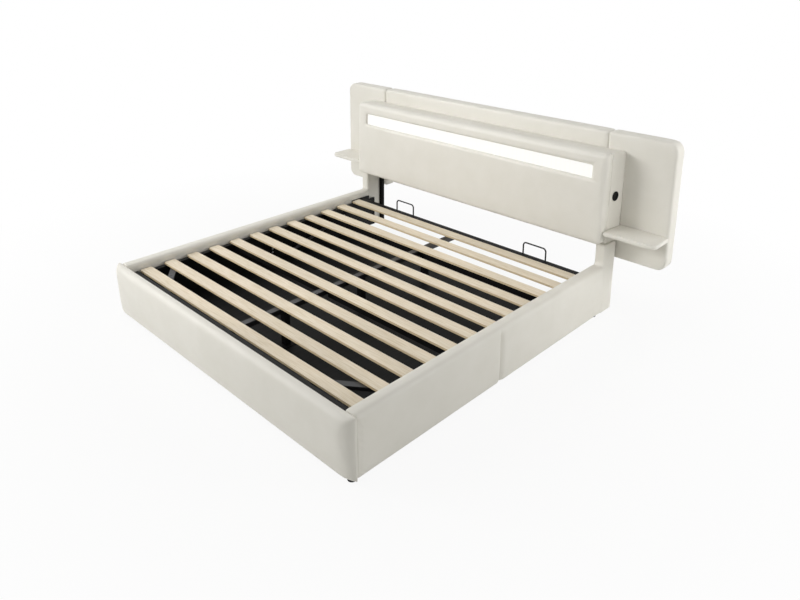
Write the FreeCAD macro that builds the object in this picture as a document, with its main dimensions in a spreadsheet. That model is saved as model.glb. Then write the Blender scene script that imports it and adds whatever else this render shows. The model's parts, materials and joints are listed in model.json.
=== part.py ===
"""Lift-up storage bed for a 2000 x 2000 mm mattress, with a lit, shelved headboard.

Right is +X, seen from the foot; the headboard stands towards +Y; the floor is Z = 0 and the
origin is the middle of the bed's outline on the floor. All lengths are millimetres.
"""
import FreeCAD, Part
import math
import os
import Sketcher

doc = FreeCAD.newDocument("storage_bed")

# Driving sizes
DRIVING_SIZES = [
    ("mattress_width", 2000, "mattress across the bed"),
    ("mattress_length", 2000, "mattress along the bed"),
    ("side_slack", 8, "free space on each side of the mattress"),
    ("head_slack", 2, "free space between mattress and headboard pad"),
    ("foot_height", 16, "height of the feet under rails and footboard"),
    ("glide_radius", 21, "round feet"),
    ("glide_front", 62, "front feet behind the footboard's face"),
    ("glide_middle", 84, "middle feet in front of the rail's joint"),
    ("glide_middle_in", 15, "middle feet further in than the others"),
    ("glide_rear", 21, "rear feet in front of the posts"),
    ("soft_gap", 0.3, "clearance between upholstered pieces and their neighbours"),
    ("seat_gap", 0.3, "clearance where the lifting frame comes to rest"),
    ("overrun", 5, "how far a cut reaches past the face it opens"),
    ("rail_thick", 84, "side rail, upholstery included"),
    ("rail_high", 324, "side rail from its underside to its top"),
    ("rail_front_long", 1024, "front half of a side rail"),
    ("rail_inner_edge", 25, "top edge radius on the mattress side"),
    ("rail_outer_edge", 30, "top edge radius on the outside"),
    ("rail_under_edge", 12, "bottom edge radii"),
    ("rail_end_edge", 6, "bevel round the ends of each half"),
    ("rail_crown", 4, "how far padding swells the outer face"),
    ("foot_thick", 58, "footboard at its fullest"),
    ("foot_proud", 5, "footboard end past the rail's outer face"),
    ("foot_draw", 20, "how far the footboard's face is drawn in at its bottom"),
    ("foot_top_edge", 40, "footboard's upper front edge radius"),
    ("foot_inner_edge", 14, "footboard's upper edge radius on the mattress side"),
    ("foot_under_edge", 10, "footboard's lower front edge radius"),
    ("foot_side_edge", 38, "footboard's upright front edge radius"),
    ("foot_joint_edge", 8, "footboard's upright edge radius against the rail"),
    ("post_thick", 75, "padded post across the bed"),
    ("post_deep", 137, "padded post along the bed"),
    ("post_setback", 64, "posts behind the headboard pad's lower front edge"),
    ("post_edge", 13, "post's upright edge radius"),
    ("box_bottom", 484, "underside of headboard box and pad above the floor"),
    ("pad_high", 578, "headboard pad measured up its face"),
    ("pad_thick", 69, "headboard pad"),
    ("pad_lean", 16, "how far the pad leans back over its height"),
    ("pad_half_wide", 1079, "headboard pad from its middle to its end"),
    ("pad_corner", 32, "pad's corner radius seen from the front"),
    ("pad_edge", 26, "pad's front edge radius"),
    ("slot_half_wide", 985, "light slot from its middle to its end"),
    ("slot_up", 409, "light slot's lower edge above the pad's underside"),
    ("slot_high", 88, "light slot's height"),
    ("slot_deep", 36, "light slot's depth in the pad"),
    ("glow_recess", 20, "light diffuser behind the pad's face"),
    ("channel_wall", 1.5, "sheet of the light channel"),
    ("channel_gap", 0.3, "light channel in its slot"),
    ("diffuser_thick", 3, "light diffuser"),
    ("diffuser_gap", 0.2, "light diffuser in its channel"),
    ("box_high", 575, "headboard box at its front"),
    ("box_fall", 9, "how much lower the box is at its rear"),
    ("box_front_half", 1078, "box half width at its front"),
    ("box_flare", 15, "how much wider each side is at the rear"),
    ("box_edge", 6, "bevels along the box's upper edges"),
    ("port_up", 297, "charging port above the box's underside"),
    ("port_forward", 77, "charging port's middle in front of the box's rear"),
    ("port_ring_radius", 30, "charging port's rim"),
    ("port_ring_thick", 2.5, "rim standing out of the box"),
    ("port_barrel_out", 1.2, "port's barrel standing out of the box"),
    ("port_bore_radius", 25, "bore in the box for the port"),
    ("port_deep", 32, "depth of that bore"),
    ("port_gap", 0.1, "port's barrel in its bore"),
    ("port_face_radius", 19, "sunk face of the port"),
    ("port_face_sink", 2, "how far that face is sunk"),
    ("panel_thick", 101, "back panels and wings"),
    ("panel_top", 1154, "top of the back panels above the floor"),
    ("panel_bottom", 440, "underside of the middle back panel"),
    ("panel_half_wide", 970, "middle back panel from its middle to its end"),
    ("wing_half_wide", 1406, "wing's outer end from the bed's middle"),
    ("wing_bottom", 346, "underside of the wings"),
    ("wing_corner", 65, "wing's outer corner radius"),
    ("panel_corner", 20, "corner radius where panels meet"),
    ("panel_edge", 15, "front edge radius round panels and wings"),
    ("panel_rear_edge", 9, "bevel round the rear of panels and wings"),
    ("shelf_half_wide", 1409, "shelf's outer end from the bed's middle"),
    ("shelf_deep", 189, "shelf from the wing forward"),
    ("shelf_thick", 28, "shelf"),
    ("shelf_top", 579, "shelf's top above the floor"),
    ("shelf_corner", 35, "shelf's outer front corner"),
    ("shelf_edge", 7, "bevels over and under the shelf's free edges"),
    ("upright_wide", 60, "steel upright across the bed"),
    ("upright_thick", 14, "steel upright between post and wing"),
    ("upright_half", 985, "inner edge of the upright from the bed's middle"),
    ("upright_lift", 24, "underside of the upright above the rail's underside"),
    ("upright_top", 980, "top of the upright above the floor"),
    ("upright_gap", 0.5, "upright in its channel in the box"),
    ("floor_thick", 8, "storage floor board"),
    ("floor_long", 1906, "storage floor from the footboard"),
    ("floor_slot", 2, "gap between the two floor boards"),
    ("bearer_wide", 40, "bearer under the storage floor"),
    ("bearer_high", 24, "bearer under the storage floor"),
    ("bearer_half", 700, "outer bearers from the bed's middle"),
    ("bearer_inset", 30, "bearer's ends in from the floor's ends"),
    ("cross_thick", 18, "cross board at the head end"),
    ("cross_high", 69, "cross board above the storage floor"),
    ("liner_thick", 8, "liner boards on the rails"),
    ("liner_top", 236, "top of the liner boards above the floor"),
    ("post_plate_start", 1875, "head end of the liners, where the post plates start, from the footboard"),
    ("post_plate_long", 245, "post plate"),
    ("post_plate_step", 185, "post plate's high part"),
    ("post_plate_top", 292, "post plate's high part above the floor"),
    ("post_plate_low", 264, "post plate's low part above the floor"),
    ("liner_slot", 3, "gap between front and rear liners"),
    ("bracket_leg", 45, "corner bracket's legs"),
    ("bracket_high", 150, "corner bracket's height"),
    ("plate_thick", 4, "sheet of brackets and mechanism plates"),
    ("joint_plate_long", 160, "plate over the joint of the rail halves"),
    ("joint_plate_high", 70, "plate over the joint of the rail halves"),
    ("joint_plate_up", 110, "middle of that plate above the floor"),
    ("bolt_head_radius", 8, "hexagonal bolt head over its corners"),
    ("bolt_head_thick", 4, "bolt's head"),
    ("bolt_inset", 22, "bolts in from the ends of a plate"),
    ("ledger_leg", 30, "rest angle's legs"),
    ("ledger_thick", 3, "rest angle's sheet"),
    ("ledger_start", 70, "rest angle from the footboard"),
    ("ledger_end", 1500, "rest angle's head end"),
    ("leg_wide", 38, "middle leg"),
    ("leg_foot_wide", 84, "middle leg's foot plate"),
    ("leg_first", 448, "first middle leg from the footboard"),
    ("leg_pitch", 592, "from one middle leg to the next"),
    ("leg_pad_thick", 6, "rubber pad on a middle leg"),
    ("slat_wide", 75, "slat"),
    ("slat_thick", 14, "slat"),
    ("slat_overhang", 4, "slat's end beyond the side tubes"),
    ("slat_first", 115.5, "first slat's middle from the footboard"),
    ("slat_pitch", 162.6, "from one slat to the next"),
    ("slat_drop", 49.5, "slat tops below the rail tops"),
    ("slat_corner", 5, "slat's cut-off corners"),
    ("slat_edge", 1.5, "slat's upper edge bevel"),
    ("tube_wide", 30, "side, middle and cross tubes of the lifting frame"),
    ("side_tube_high", 40, "side tubes of the lifting frame"),
    ("cross_tube_high", 50, "cross tubes of the lifting frame"),
    ("middle_tube_wide", 40, "middle tube of the lifting frame"),
    ("middle_tube_high", 30, "middle tube of the lifting frame"),
    ("bar_deep", 44, "head bar along the bed"),
    ("bar_high", 40, "head bar and foot bar"),
    ("foot_bar_start", 18, "foot bar from the footboard"),
    ("foot_bar_deep", 40, "foot bar along the bed"),
    ("head_bar_start", 1942, "head bar from the footboard"),
    ("brace_run", 356, "corner brace's near corner on the foot bar from the side tube"),
    ("brace_wide", 65, "corner brace measured along the foot bar"),
    ("brace_reach", 267, "corner brace's far corner on the side tube"),
    ("brace_high", 20, "corner brace"),
    ("hoop_wide", 181, "mattress hoop over its wires"),
    ("hoop_high", 89, "mattress hoop above the head bar"),
    ("hoop_wire_radius", 5, "mattress hoop's wire"),
    ("hoop_bend", 27, "mattress hoop's outer bend"),
    ("hoop_setback", 34, "hoop wire behind the head bar's front"),
    ("hoop_left_at", 515, "left hoop's middle from the bed's middle"),
    ("hoop_right_at", 645, "right hoop's middle from the bed's middle"),
    ("pivot_at", 1880, "lift pivot from the footboard"),
    ("pivot_up", 205, "lift pivot above the floor"),
    ("pin_radius", 6, "lift pivot pin"),
    ("pin_gap", 0.1, "pivot pins and bolts in their eyes"),
    ("pin_head_radius", 11, "pivot pin's hexagonal head over its corners"),
    ("pin_head_thick", 3, "pivot pin's head"),
    ("washer_thick", 1, "gap that the pivot's washer fills"),
    ("washer_radius", 11, "pivot's washer"),
    ("hinge_plate_front", 90, "hinge plate in front of the pivot"),
    ("hinge_plate_rear", 70, "hinge plate behind the pivot"),
    ("hinge_plate_up", 28, "hinge plate above the pivot"),
    ("hinge_plate_down", 60, "hinge plate below the pivot"),
    ("hinge_plate_cut", 34, "hinge plate's cut-off corners"),
    ("arm_eye", 20, "arm plate round the pivot"),
    ("arm_root_rear", 50, "arm plate's weld behind the pivot"),
    ("arm_root_front", 150, "arm plate's weld in front of the pivot"),
    ("arm_top_inset", 6, "arm plate below the side tube's top"),
    ("arm_stud_at", 100, "strut stud in front of the pivot"),
    ("arm_stud_up", 7, "strut stud above the pivot"),
    ("arm_stud_edge", 15, "arm plate round the strut stud"),
    ("anchor_behind_joint", 226, "strut's anchor behind the joint of the rail halves"),
    ("anchor_up", 70, "strut's anchor above the floor"),
    ("anchor_long", 90, "strut's anchor plate along the bed"),
    ("anchor_high", 56, "strut's anchor plate"),
    ("anchor_corner", 12, "anchor plate's cut-off corners"),
    ("stud_radius", 4, "studs at the strut's two ends"),
    ("stud_head_radius", 8, "heads on those studs"),
    ("stud_head_thick", 2, "heads on those studs"),
    ("strut_radius", 11, "strut's cylinder"),
    ("strut_bore_radius", 5.6, "bore that the rod runs in"),
    ("strut_edge", 2, "bevel at the cylinder's mouth"),
    ("rod_radius", 5, "strut's rod"),
    ("rod_in", 120, "rod inside the cylinder when the bed is shut"),
    ("rod_out", 62, "rod outside the cylinder when the bed is shut"),
    ("eye_thick", 12, "eyes at the strut's ends"),
    ("neck_radius", 5, "neck between the cylinder and its eye"),
    ("neck_long", 18, "closed end of the cylinder from its eye's middle"),
    ("eye_wall", 4, "metal round an eye's hole"),
    ("eye_play", 5.5, "free play round the upper stud"),
]

SLATS = 12
LEGS = 3
CROSS_TUBE_SLATS = (5, 10)
BOLT_SIDES = 6
WIRE_SIDES = 8
GLIDE_SIDES = 12
MATCH = 0.001  # how close a measured edge must be to its place

sheet = doc.addObject("Spreadsheet::Sheet", "Sizes")
for row, (alias, number, meaning) in enumerate(DRIVING_SIZES, start=1):
    sheet.set(f"A{row}", meaning)
    sheet.set(f"B{row}", str(number))
    sheet.setAlias(f"B{row}", alias)
doc.recompute()


class Size:
    """A length held both as a number and as the sheet expression that drives it."""

    def __init__(self, text, value):
        self.text = text
        self.value = value

    @staticmethod
    def of(other):
        """Gives a plain factor or zero the same two faces as a length."""
        return other if isinstance(other, Size) else Size(str(other), other)

    def __add__(self, other):
        other = Size.of(other)
        return Size(f"({self.text} + {other.text})", self.value + other.value)

    def __sub__(self, other):
        other = Size.of(other)
        return Size(f"({self.text} - {other.text})", self.value - other.value)

    def __mul__(self, other):
        other = Size.of(other)
        return Size(f"{self.text} * {other.text}", self.value * other.value)

    def __truediv__(self, other):
        other = Size.of(other)
        return Size(f"{self.text} / ({other.text})", self.value / other.value)

    def __neg__(self):
        return Size(f"(0 - {self.text})", -self.value)

    __radd__ = __add__
    __rmul__ = __mul__


class Sheet:
    """Reads each driving size of the spreadsheet by its name."""

    def __getattr__(self, alias):
        return Size(f"Sizes.{alias}", float(getattr(sheet, alias)))


S = Sheet()
ZERO = Size("0", 0)
SIDES = {"left": -1, "right": 1}

# Levels and places that several pieces share
RAIL_TOP = S.foot_height + S.rail_high
RAIL_IN = S.mattress_width / 2 + S.side_slack
RAIL_OUT = RAIL_IN + S.rail_thick
POST_FRONT = S.mattress_length + S.head_slack + S.post_setback
BOX_REAR = POST_FRONT + S.post_deep + S.upright_thick
BED_REAR = BOX_REAR + S.panel_thick
FOOT_FACE = (S.foot_thick - BED_REAR) / 2
PAD_FRONT = FOOT_FACE + S.mattress_length + S.head_slack
LINER_IN = RAIL_IN - S.liner_thick
FLOOR_TOP = S.bearer_high + S.floor_thick
SLAT_TOP = RAIL_TOP - S.slat_drop
SLAT_UNDER = SLAT_TOP - S.slat_thick
ARM_OUT = LINER_IN - S.plate_thick - S.washer_thick
SIDE_TUBE_OUT = ARM_OUT - S.plate_thick
SIDE_TUBE_IN = SIDE_TUBE_OUT - S.tube_wide
STRUT_MIDDLE = SIDE_TUBE_OUT - S.tube_wide / 2
SLAT_HALF = SIDE_TUBE_OUT + S.slat_overhang
SIDE_TUBE_UNDER = SLAT_UNDER - S.side_tube_high
FOOT_BAR_REAR = FOOT_FACE + S.foot_bar_start + S.foot_bar_deep
HEAD_BAR_FRONT = FOOT_FACE + S.head_bar_start
PIVOT_Y = FOOT_FACE + S.pivot_at
ANCHOR_AT = S.rail_front_long + S.anchor_behind_joint
LEG_TOP = SLAT_UNDER - S.middle_tube_high - S.seat_gap

# Turns for primitives that are made standing on Z
ALONG_X = FreeCAD.Rotation(FreeCAD.Vector(0, 1, 0), 90)
STANDING = FreeCAD.Rotation(FreeCAD.Vector(1, 0, 0), 90)
RING_LEFT = FreeCAD.Rotation(FreeCAD.Vector(0, -1, 0), 90) * STANDING

nodes = []


def name_node(thing, name):
    """Gives an object the name that it is known and written out by."""
    thing.Label = name
    nodes.append(thing)
    return thing


def mirrored(side, low, high):
    """A pair of X places on the right, or its mirror image on the left."""
    return (low, high) if side > 0 else (-high, -low)


def block(name, across, along, up):
    """A box between two places on each axis."""
    box = doc.addObject("Part::Box", name)
    spans = zip(("Length", "Width", "Height"), "xyz", (across, along, up))
    for size_name, axis, (low, high) in spans:
        box.setExpression(size_name, (high - low).text)
        box.setExpression(f"Placement.Base.{axis}", low.text)
    return box


def peg(name, radius, ends, y, z):
    """A cylinder along X between two places, centred at y and z."""
    rod = doc.addObject("Part::Cylinder", name)
    low, high = ends
    rod.setExpression("Radius", radius.text)
    rod.setExpression("Height", (high - low).text)
    rod.Placement.Rotation = ALONG_X
    for axis, place in zip("xyz", (low, y, z)):
        rod.setExpression(f"Placement.Base.{axis}", place.text)
    return rod


def many_sided(name, sides, radius, length, place, rotation=FreeCAD.Rotation()):
    """A prism of a regular polygon that starts at a place; it stands up unless it is turned."""
    bar = doc.addObject("Part::Prism", name)
    bar.Polygon = int(sides)
    bar.setExpression("Circumradius", radius.text)
    bar.setExpression("Height", length.text)
    bar.Placement.Rotation = rotation
    for axis, size in zip("xyz", place):
        bar.setExpression(f"Placement.Base.{axis}", size.text)
    return bar


def cut(name, base, tool):
    """One solid less another."""
    result = doc.addObject("Part::Cut", name)
    result.Base = base
    result.Tool = tool
    return result


def join(name, parts):
    """Touching solids joined to one."""
    result = doc.addObject("Part::MultiFuse", name)
    result.Shapes = parts
    result.Refine = True
    return result


def group(name, parts):
    """Like pieces that share one node and stay separate solids."""
    result = doc.addObject("Part::Compound", name)
    result.Links = parts
    return name_node(result, name)


def new_body(name):
    """An empty body."""
    body = doc.addObject("PartDesign::Body", name + "_body")
    body.Label = name
    return body


def new_sketch(body, plane, level):
    """A sketch parallel to one of the body's own planes, at a level along that plane's axis."""
    name = f"{body.Label}_sketch"
    sketch = body.newObject("Sketcher::SketchObject", name)
    support = next(f for f in body.Origin.OriginFeatures if f.Role == plane + "_Plane")
    sketch.AttachmentSupport = (support, [""])
    sketch.MapMode = "FlatFace"
    offset = -level if plane == "XZ" else level
    sketch.setExpression("AttachmentOffset.Base.z", offset.text)
    return sketch


def bow(chord, depth):
    """Radius of the flat arc that swells by depth over a chord."""
    return chord * chord / (8 * depth) + depth / 2


def outline(sketch, corners, radii):
    """Closes a loop through the corners.

    The edge that leaves corner i is straight where radii[i] is None, and otherwise an arc of
    that radius which swells out of the loop.
    """
    count = len(corners)
    flat = [(u.value, v.value) for u, v in corners]
    pairs = [(flat[i], flat[(i + 1) % count]) for i in range(count)]
    turn = 1 if sum(p[0] * q[1] - q[0] * p[1] for p, q in pairs) > 0 else -1
    up = FreeCAD.Vector(0, 0, 1)
    ends = []
    for (p, q), radius in zip(pairs, radii):
        start = FreeCAD.Vector(p[0], p[1], 0)
        stop = FreeCAD.Vector(q[0], q[1], 0)
        if radius is None:
            sketch.addGeometry(Part.LineSegment(start, stop), False)
            ends.append((1, 2))
            continue
        chord = stop - start
        rise = math.sqrt(radius.value**2 - (chord.Length / 2) ** 2)
        inward = FreeCAD.Vector(-chord.y, chord.x, 0) * (turn / chord.Length)
        centre = (start + stop) / 2 + inward * rise
        first, last = (start, stop) if turn > 0 else (stop, start)
        angle = math.atan2(first.y - centre.y, first.x - centre.x)
        sweep = 2 * math.asin(chord.Length / 2 / radius.value)
        circle = Part.Circle(centre, up, radius.value)
        sketch.addGeometry(Part.ArcOfCircle(circle, angle, angle + sweep), False)
        ends.append((1, 2) if turn > 0 else (2, 1))
    for i in range(count):
        after = (i + 1) % count
        sketch.addConstraint(Sketcher.Constraint("Coincident", i, ends[i][1], after, ends[after][0]))
    for i, ((u, v), radius) in enumerate(zip(corners, radii)):
        for kind, place in (("DistanceX", u), ("DistanceY", v)):
            hold(sketch, Sketcher.Constraint(kind, -1, 1, i, ends[i][0], place.value), place)
        if radius is not None:
            hold(sketch, Sketcher.Constraint("Radius", i, radius.value), radius)


def hold(sketch, constraint, size):
    """Adds a constraint whose value follows the sheet."""
    index = sketch.addConstraint(constraint)
    sketch.renameConstraint(index, f"size_{index}")
    sketch.setExpression(f"Constraints.size_{index}", size.text)


def ring(sketch, u, v, radius):
    """A full circle in a sketch."""
    centre = FreeCAD.Vector(u.value, v.value, 0)
    index = sketch.addGeometry(Part.Circle(centre, FreeCAD.Vector(0, 0, 1), radius.value), False)
    for kind, place in (("DistanceX", u), ("DistanceY", v)):
        hold(sketch, Sketcher.Constraint(kind, -1, 1, index, 3, place.value), place)
    hold(sketch, Sketcher.Constraint("Radius", index, radius.value), radius)


def rounded(u_span, v_span, low_low, high_low, high_high, low_high):
    """Corners and radii of an upright rectangle with one radius, or None, at each corner."""
    (left, right), (bottom, top) = u_span, v_span
    corners, radii = [], []
    for u, v, toward_u, toward_v, radius, along_u in (
        (left, bottom, 1, 1, low_low, False),
        (right, bottom, -1, 1, high_low, True),
        (right, top, -1, -1, high_high, False),
        (left, top, 1, -1, low_high, True),
    ):
        if radius is None:
            corners.append((u, v))
            radii.append(None)
            continue
        on_side = (u, v + radius * toward_v)
        on_level = (u + radius * toward_u, v)
        corners += [on_level, on_side] if along_u else [on_side, on_level]
        radii += [radius, None]
    return corners, radii


def clipped(u_span, v_span, corner):
    """Corners and radii of an upright rectangle with its corners cut off."""
    (left, right), (bottom, top) = u_span, v_span
    corners = [
        (left + corner, bottom), (right - corner, bottom), (right, bottom + corner), (right, top - corner),
        (right - corner, top), (left + corner, top), (left, top - corner), (left, bottom + corner),
    ]
    return corners, [None] * len(corners)


def pad(body, sketch, length):
    """Raises a sketch along its plane's axis."""
    feature = body.newObject("PartDesign::Pad", f"{body.Label}_pad")
    feature.Profile = sketch
    feature.setExpression("Length", length.text)
    feature.Reversed = sketch.AttachmentSupport[0][0].Role == "XZ_Plane"
    return feature


def prism(body, plane, span, shape):
    """A pad of an outline between two places along the plane's axis."""
    low, high = span
    sketch = new_sketch(body, plane, low)
    outline(sketch, *shape)
    return pad(body, sketch, high - low)


def pocket(body, plane, span, shape):
    """Takes an outline away between two places along the plane's axis."""
    low, high = span
    sketch = new_sketch(body, plane, low)
    outline(sketch, *shape)
    feature = body.newObject("PartDesign::Pocket", f"{body.Label}_pocket")
    feature.Profile = sketch
    feature.setExpression("Length", (high - low).text)
    feature.Reversed = plane != "XZ"
    return feature


def bore(body, plane, span, u, v, radius):
    """Takes a round hole away between two places along the plane's axis."""
    low, high = span
    sketch = new_sketch(body, plane, low)
    ring(sketch, u, v, radius)
    feature = body.newObject("PartDesign::Pocket", f"{body.Label}_bore")
    feature.Profile = sketch
    feature.setExpression("Length", (high - low).text)
    feature.Reversed = plane != "XZ"
    return feature


def round_edges(body, feature, radius, wanted):
    """Rounds every edge of a feature for which wanted(bound box) is true."""
    fillet = body.newObject("PartDesign::Fillet", f"{body.Label}_fillet")
    fillet.Base = (feature, chosen_edges(feature, wanted))
    fillet.setExpression("Radius", radius.text)
    return fillet


def bevel_edges(body, feature, size, wanted):
    """Bevels every edge of a feature for which wanted(bound box) is true."""
    chamfer = body.newObject("PartDesign::Chamfer", f"{body.Label}_chamfer")
    chamfer.Base = (feature, chosen_edges(feature, wanted))
    chamfer.setExpression("Size", size.text)
    return chamfer


def chosen_edges(feature, wanted):
    """Names of the edges of a feature for which wanted(bound box) is true."""
    doc.recompute()
    edges = enumerate(feature.Shape.Edges, start=1)
    return [f"Edge{number}" for number, edge in edges if wanted(edge.BoundBox)]


def near(value, size):
    """Whether a measured coordinate is the place that a size gives."""
    return abs(value - size.value) < MATCH


def in_plane(axis, *places):
    """Chooses edges that lie in one of the given planes across an axis."""
    low, high = axis + "Min", axis + "Max"

    def wanted(box):
        return any(near(getattr(box, low), p) and near(getattr(box, high), p) for p in places)

    return wanted


# Upholstered base
def side_rail(side_name, half_name, start, end):
    """One padded half of a side rail: rounded top, swollen outer face, drawn-in ends."""
    side = SIDES[side_name]
    body = new_body(f"side_rail_{half_name}_{side_name}")
    low, high = S.foot_height, RAIL_TOP
    face = RAIL_OUT - S.rail_crown
    under, inner, outer = S.rail_under_edge, S.rail_inner_edge, S.rail_outer_edge
    corners = [
        (RAIL_IN + under, low), (face - under, low), (face, low + under), (face, high - outer),
        (face - outer, high), (RAIL_IN + inner, high), (RAIL_IN, high - inner), (RAIL_IN, low + under),
    ]
    swell = bow(high - low - under - outer, S.rail_crown)
    radii = [None, under, swell, outer, None, inner, None, under]
    corners = [(u * side, v) for u, v in corners]
    solid = prism(body, "XZ", (start, end), (corners, radii))
    bevel_edges(body, solid, S.rail_end_edge, in_plane("Y", start, end))
    return name_node(body, body.Label)


def footboard():
    """Padded footboard across both rails, its face swollen and drawn in towards the floor."""
    body = new_body("footboard")
    low, high = S.foot_height, RAIL_TOP
    front = FOOT_FACE - S.foot_thick
    foot = front + S.foot_draw
    crest = high - S.foot_top_edge
    corners = [
        (FOOT_FACE, low), (FOOT_FACE, high - S.foot_inner_edge), (FOOT_FACE - S.foot_inner_edge, high),
        (front + S.foot_top_edge, high), (front, crest), (foot, low + S.foot_under_edge),
        (foot + S.foot_under_edge, low),
    ]
    drawn_in = crest - low - S.foot_under_edge
    swell = bow(drawn_in + drawn_in, S.foot_draw)
    radii = [None, S.foot_inner_edge, None, S.foot_top_edge, swell, S.foot_under_edge, None]
    end = RAIL_OUT + S.foot_proud
    solid = prism(body, "YZ", (-end, end), (corners, radii))
    cuts = (low - S.overrun, high + S.overrun)
    for side in SIDES.values():
        for place, towards, radius in (
            (front, 1, S.foot_side_edge),
            (FOOT_FACE, -1, S.foot_joint_edge),
        ):
            solid = corner_cut(body, cuts, (end * side, place), (-side, towards), radius)
    return name_node(body, "footboard")


def corner_cut(body, span, corner, inward, radius):
    """Rounds an upright corner by taking away what lies outside its radius."""
    x, y = corner
    toward_x, toward_y = inward
    beyond_x = x - S.overrun * toward_x
    beyond_y = y - S.overrun * toward_y
    sketch = new_sketch(body, "XY", span[0])
    points = [
        (x, y + radius * toward_y), (x + radius * toward_x, y), (x + radius * toward_x, beyond_y),
        (beyond_x, beyond_y), (beyond_x, y + radius * toward_y),
    ]
    hollow_outline(sketch, points, radius)
    feature = body.newObject("PartDesign::Pocket", f"{body.Label}_corner")
    feature.Profile = sketch
    feature.setExpression("Length", (span[1] - span[0]).text)
    feature.Reversed = True
    return feature


def hollow_outline(sketch, points, radius):
    """Closes a loop whose first edge is an arc that bites into the loop."""
    first, second = points[0], points[1]
    corner = FreeCAD.Vector(first[0].value, second[1].value, 0)
    start = FreeCAD.Vector(first[0].value, first[1].value, 0)
    stop = FreeCAD.Vector(second[0].value, second[1].value, 0)
    centre = start + stop - corner
    angles = [math.atan2(p.y - centre.y, p.x - centre.x) for p in (start, stop)]
    forward = (angles[1] - angles[0]) % (2 * math.pi) < math.pi
    if not forward:
        angles.reverse()
    circle = Part.Circle(centre, FreeCAD.Vector(0, 0, 1), radius.value)
    stop_angle = angles[0] + (angles[1] - angles[0]) % (2 * math.pi)
    sketch.addGeometry(Part.ArcOfCircle(circle, angles[0], stop_angle), False)
    ends = [(1, 2) if forward else (2, 1)]
    for i in range(1, len(points)):
        p, q = points[i], points[(i + 1) % len(points)]
        line = Part.LineSegment(
            FreeCAD.Vector(p[0].value, p[1].value, 0), FreeCAD.Vector(q[0].value, q[1].value, 0)
        )
        sketch.addGeometry(line, False)
        ends.append((1, 2))
    for i in range(len(points)):
        after = (i + 1) % len(points)
        sketch.addConstraint(Sketcher.Constraint("Coincident", i, ends[i][1], after, ends[after][0]))
    for i, (u, v) in enumerate(points):
        for kind, place in (("DistanceX", u), ("DistanceY", v)):
            hold(sketch, Sketcher.Constraint(kind, -1, 1, i, ends[i][0], place.value), place)
    hold(sketch, Sketcher.Constraint("Radius", 0, radius.value), radius)


def post(side_name):
    """Padded post that stands behind a rail and carries the headboard box."""
    side = SIDES[side_name]
    body = new_body(f"post_{side_name}")
    across = mirrored(side, RAIL_OUT - S.post_thick, RAIL_OUT)
    along = (FOOT_FACE + POST_FRONT + S.soft_gap, FOOT_FACE + POST_FRONT + S.post_deep)
    shape = rounded(across, along, S.post_edge, S.post_edge, S.post_edge, S.post_edge)
    prism(body, "XY", (S.foot_height, S.box_bottom), shape)
    return name_node(body, body.Label)


def turn(body, axis, slope):
    """Turns a body about an axis by the angle whose tangent is the slope."""
    body.Placement.Rotation = FreeCAD.Rotation(axis, math.degrees(math.atan(slope.value)))
    body.setExpression("Placement.Rotation.Angle", f"atan({slope.text})")


# Headboard
def leaning_body(name):
    """A body whose own X-Z plane is the leaning face of the headboard pad."""
    body = new_body(name)
    slope = S.pad_lean / S.pad_high
    turn(body, FreeCAD.Vector(-1, 0, 0), slope)
    body.setExpression("Placement.Base.y", PAD_FRONT.text)
    body.setExpression("Placement.Base.z", (S.box_bottom + S.soft_gap + S.pad_thick * slope).text)
    return body


def front_pad():
    """Thick leaning pad with a long slot for the light."""
    body = leaning_body("front_pad")
    across = (-S.pad_half_wide, S.pad_half_wide)
    corner = S.pad_corner
    shape = rounded(across, (ZERO, S.pad_high), corner, corner, corner, corner)
    solid = prism(body, "XZ", (ZERO, S.pad_thick), shape)
    round_edges(body, solid, S.pad_edge, in_plane("Y", ZERO))
    slot = (-S.slot_half_wide, S.slot_half_wide)
    height = (S.slot_up, S.slot_up + S.slot_high)
    pocket(body, "XZ", (-S.overrun, S.slot_deep), rounded(slot, height, None, None, None, None))
    return name_node(body, "front_pad")


def led_channel():
    """Folded metal tray at the back of the light slot."""
    body = leaning_body("led_channel")
    half = S.slot_half_wide - S.channel_gap
    low = S.slot_up + S.channel_gap
    high = S.slot_up + S.slot_high - S.channel_gap
    back = S.slot_deep - S.channel_gap
    wall = S.channel_wall
    prism(body, "XZ", (S.glow_recess, back), rounded((-half, half), (low, high), None, None, None, None))
    inside = (wall - half, half - wall)
    height = (low + wall, high - wall)
    shape = rounded(inside, height, None, None, None, None)
    pocket(body, "XZ", (S.glow_recess - S.overrun, back - wall), shape)
    return name_node(body, "led_channel")


def led_diffuser():
    """Opal strip in the mouth of the light channel."""
    body = leaning_body("led_diffuser")
    inset = S.channel_gap + S.channel_wall + S.diffuser_gap
    half = S.slot_half_wide - inset
    height = (S.slot_up + inset, S.slot_up + S.slot_high - inset)
    span = (S.glow_recess, S.glow_recess + S.diffuser_thick)
    prism(body, "XZ", span, rounded((-half, half), height, None, None, None, None))
    return name_node(body, "led_diffuser")


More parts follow.
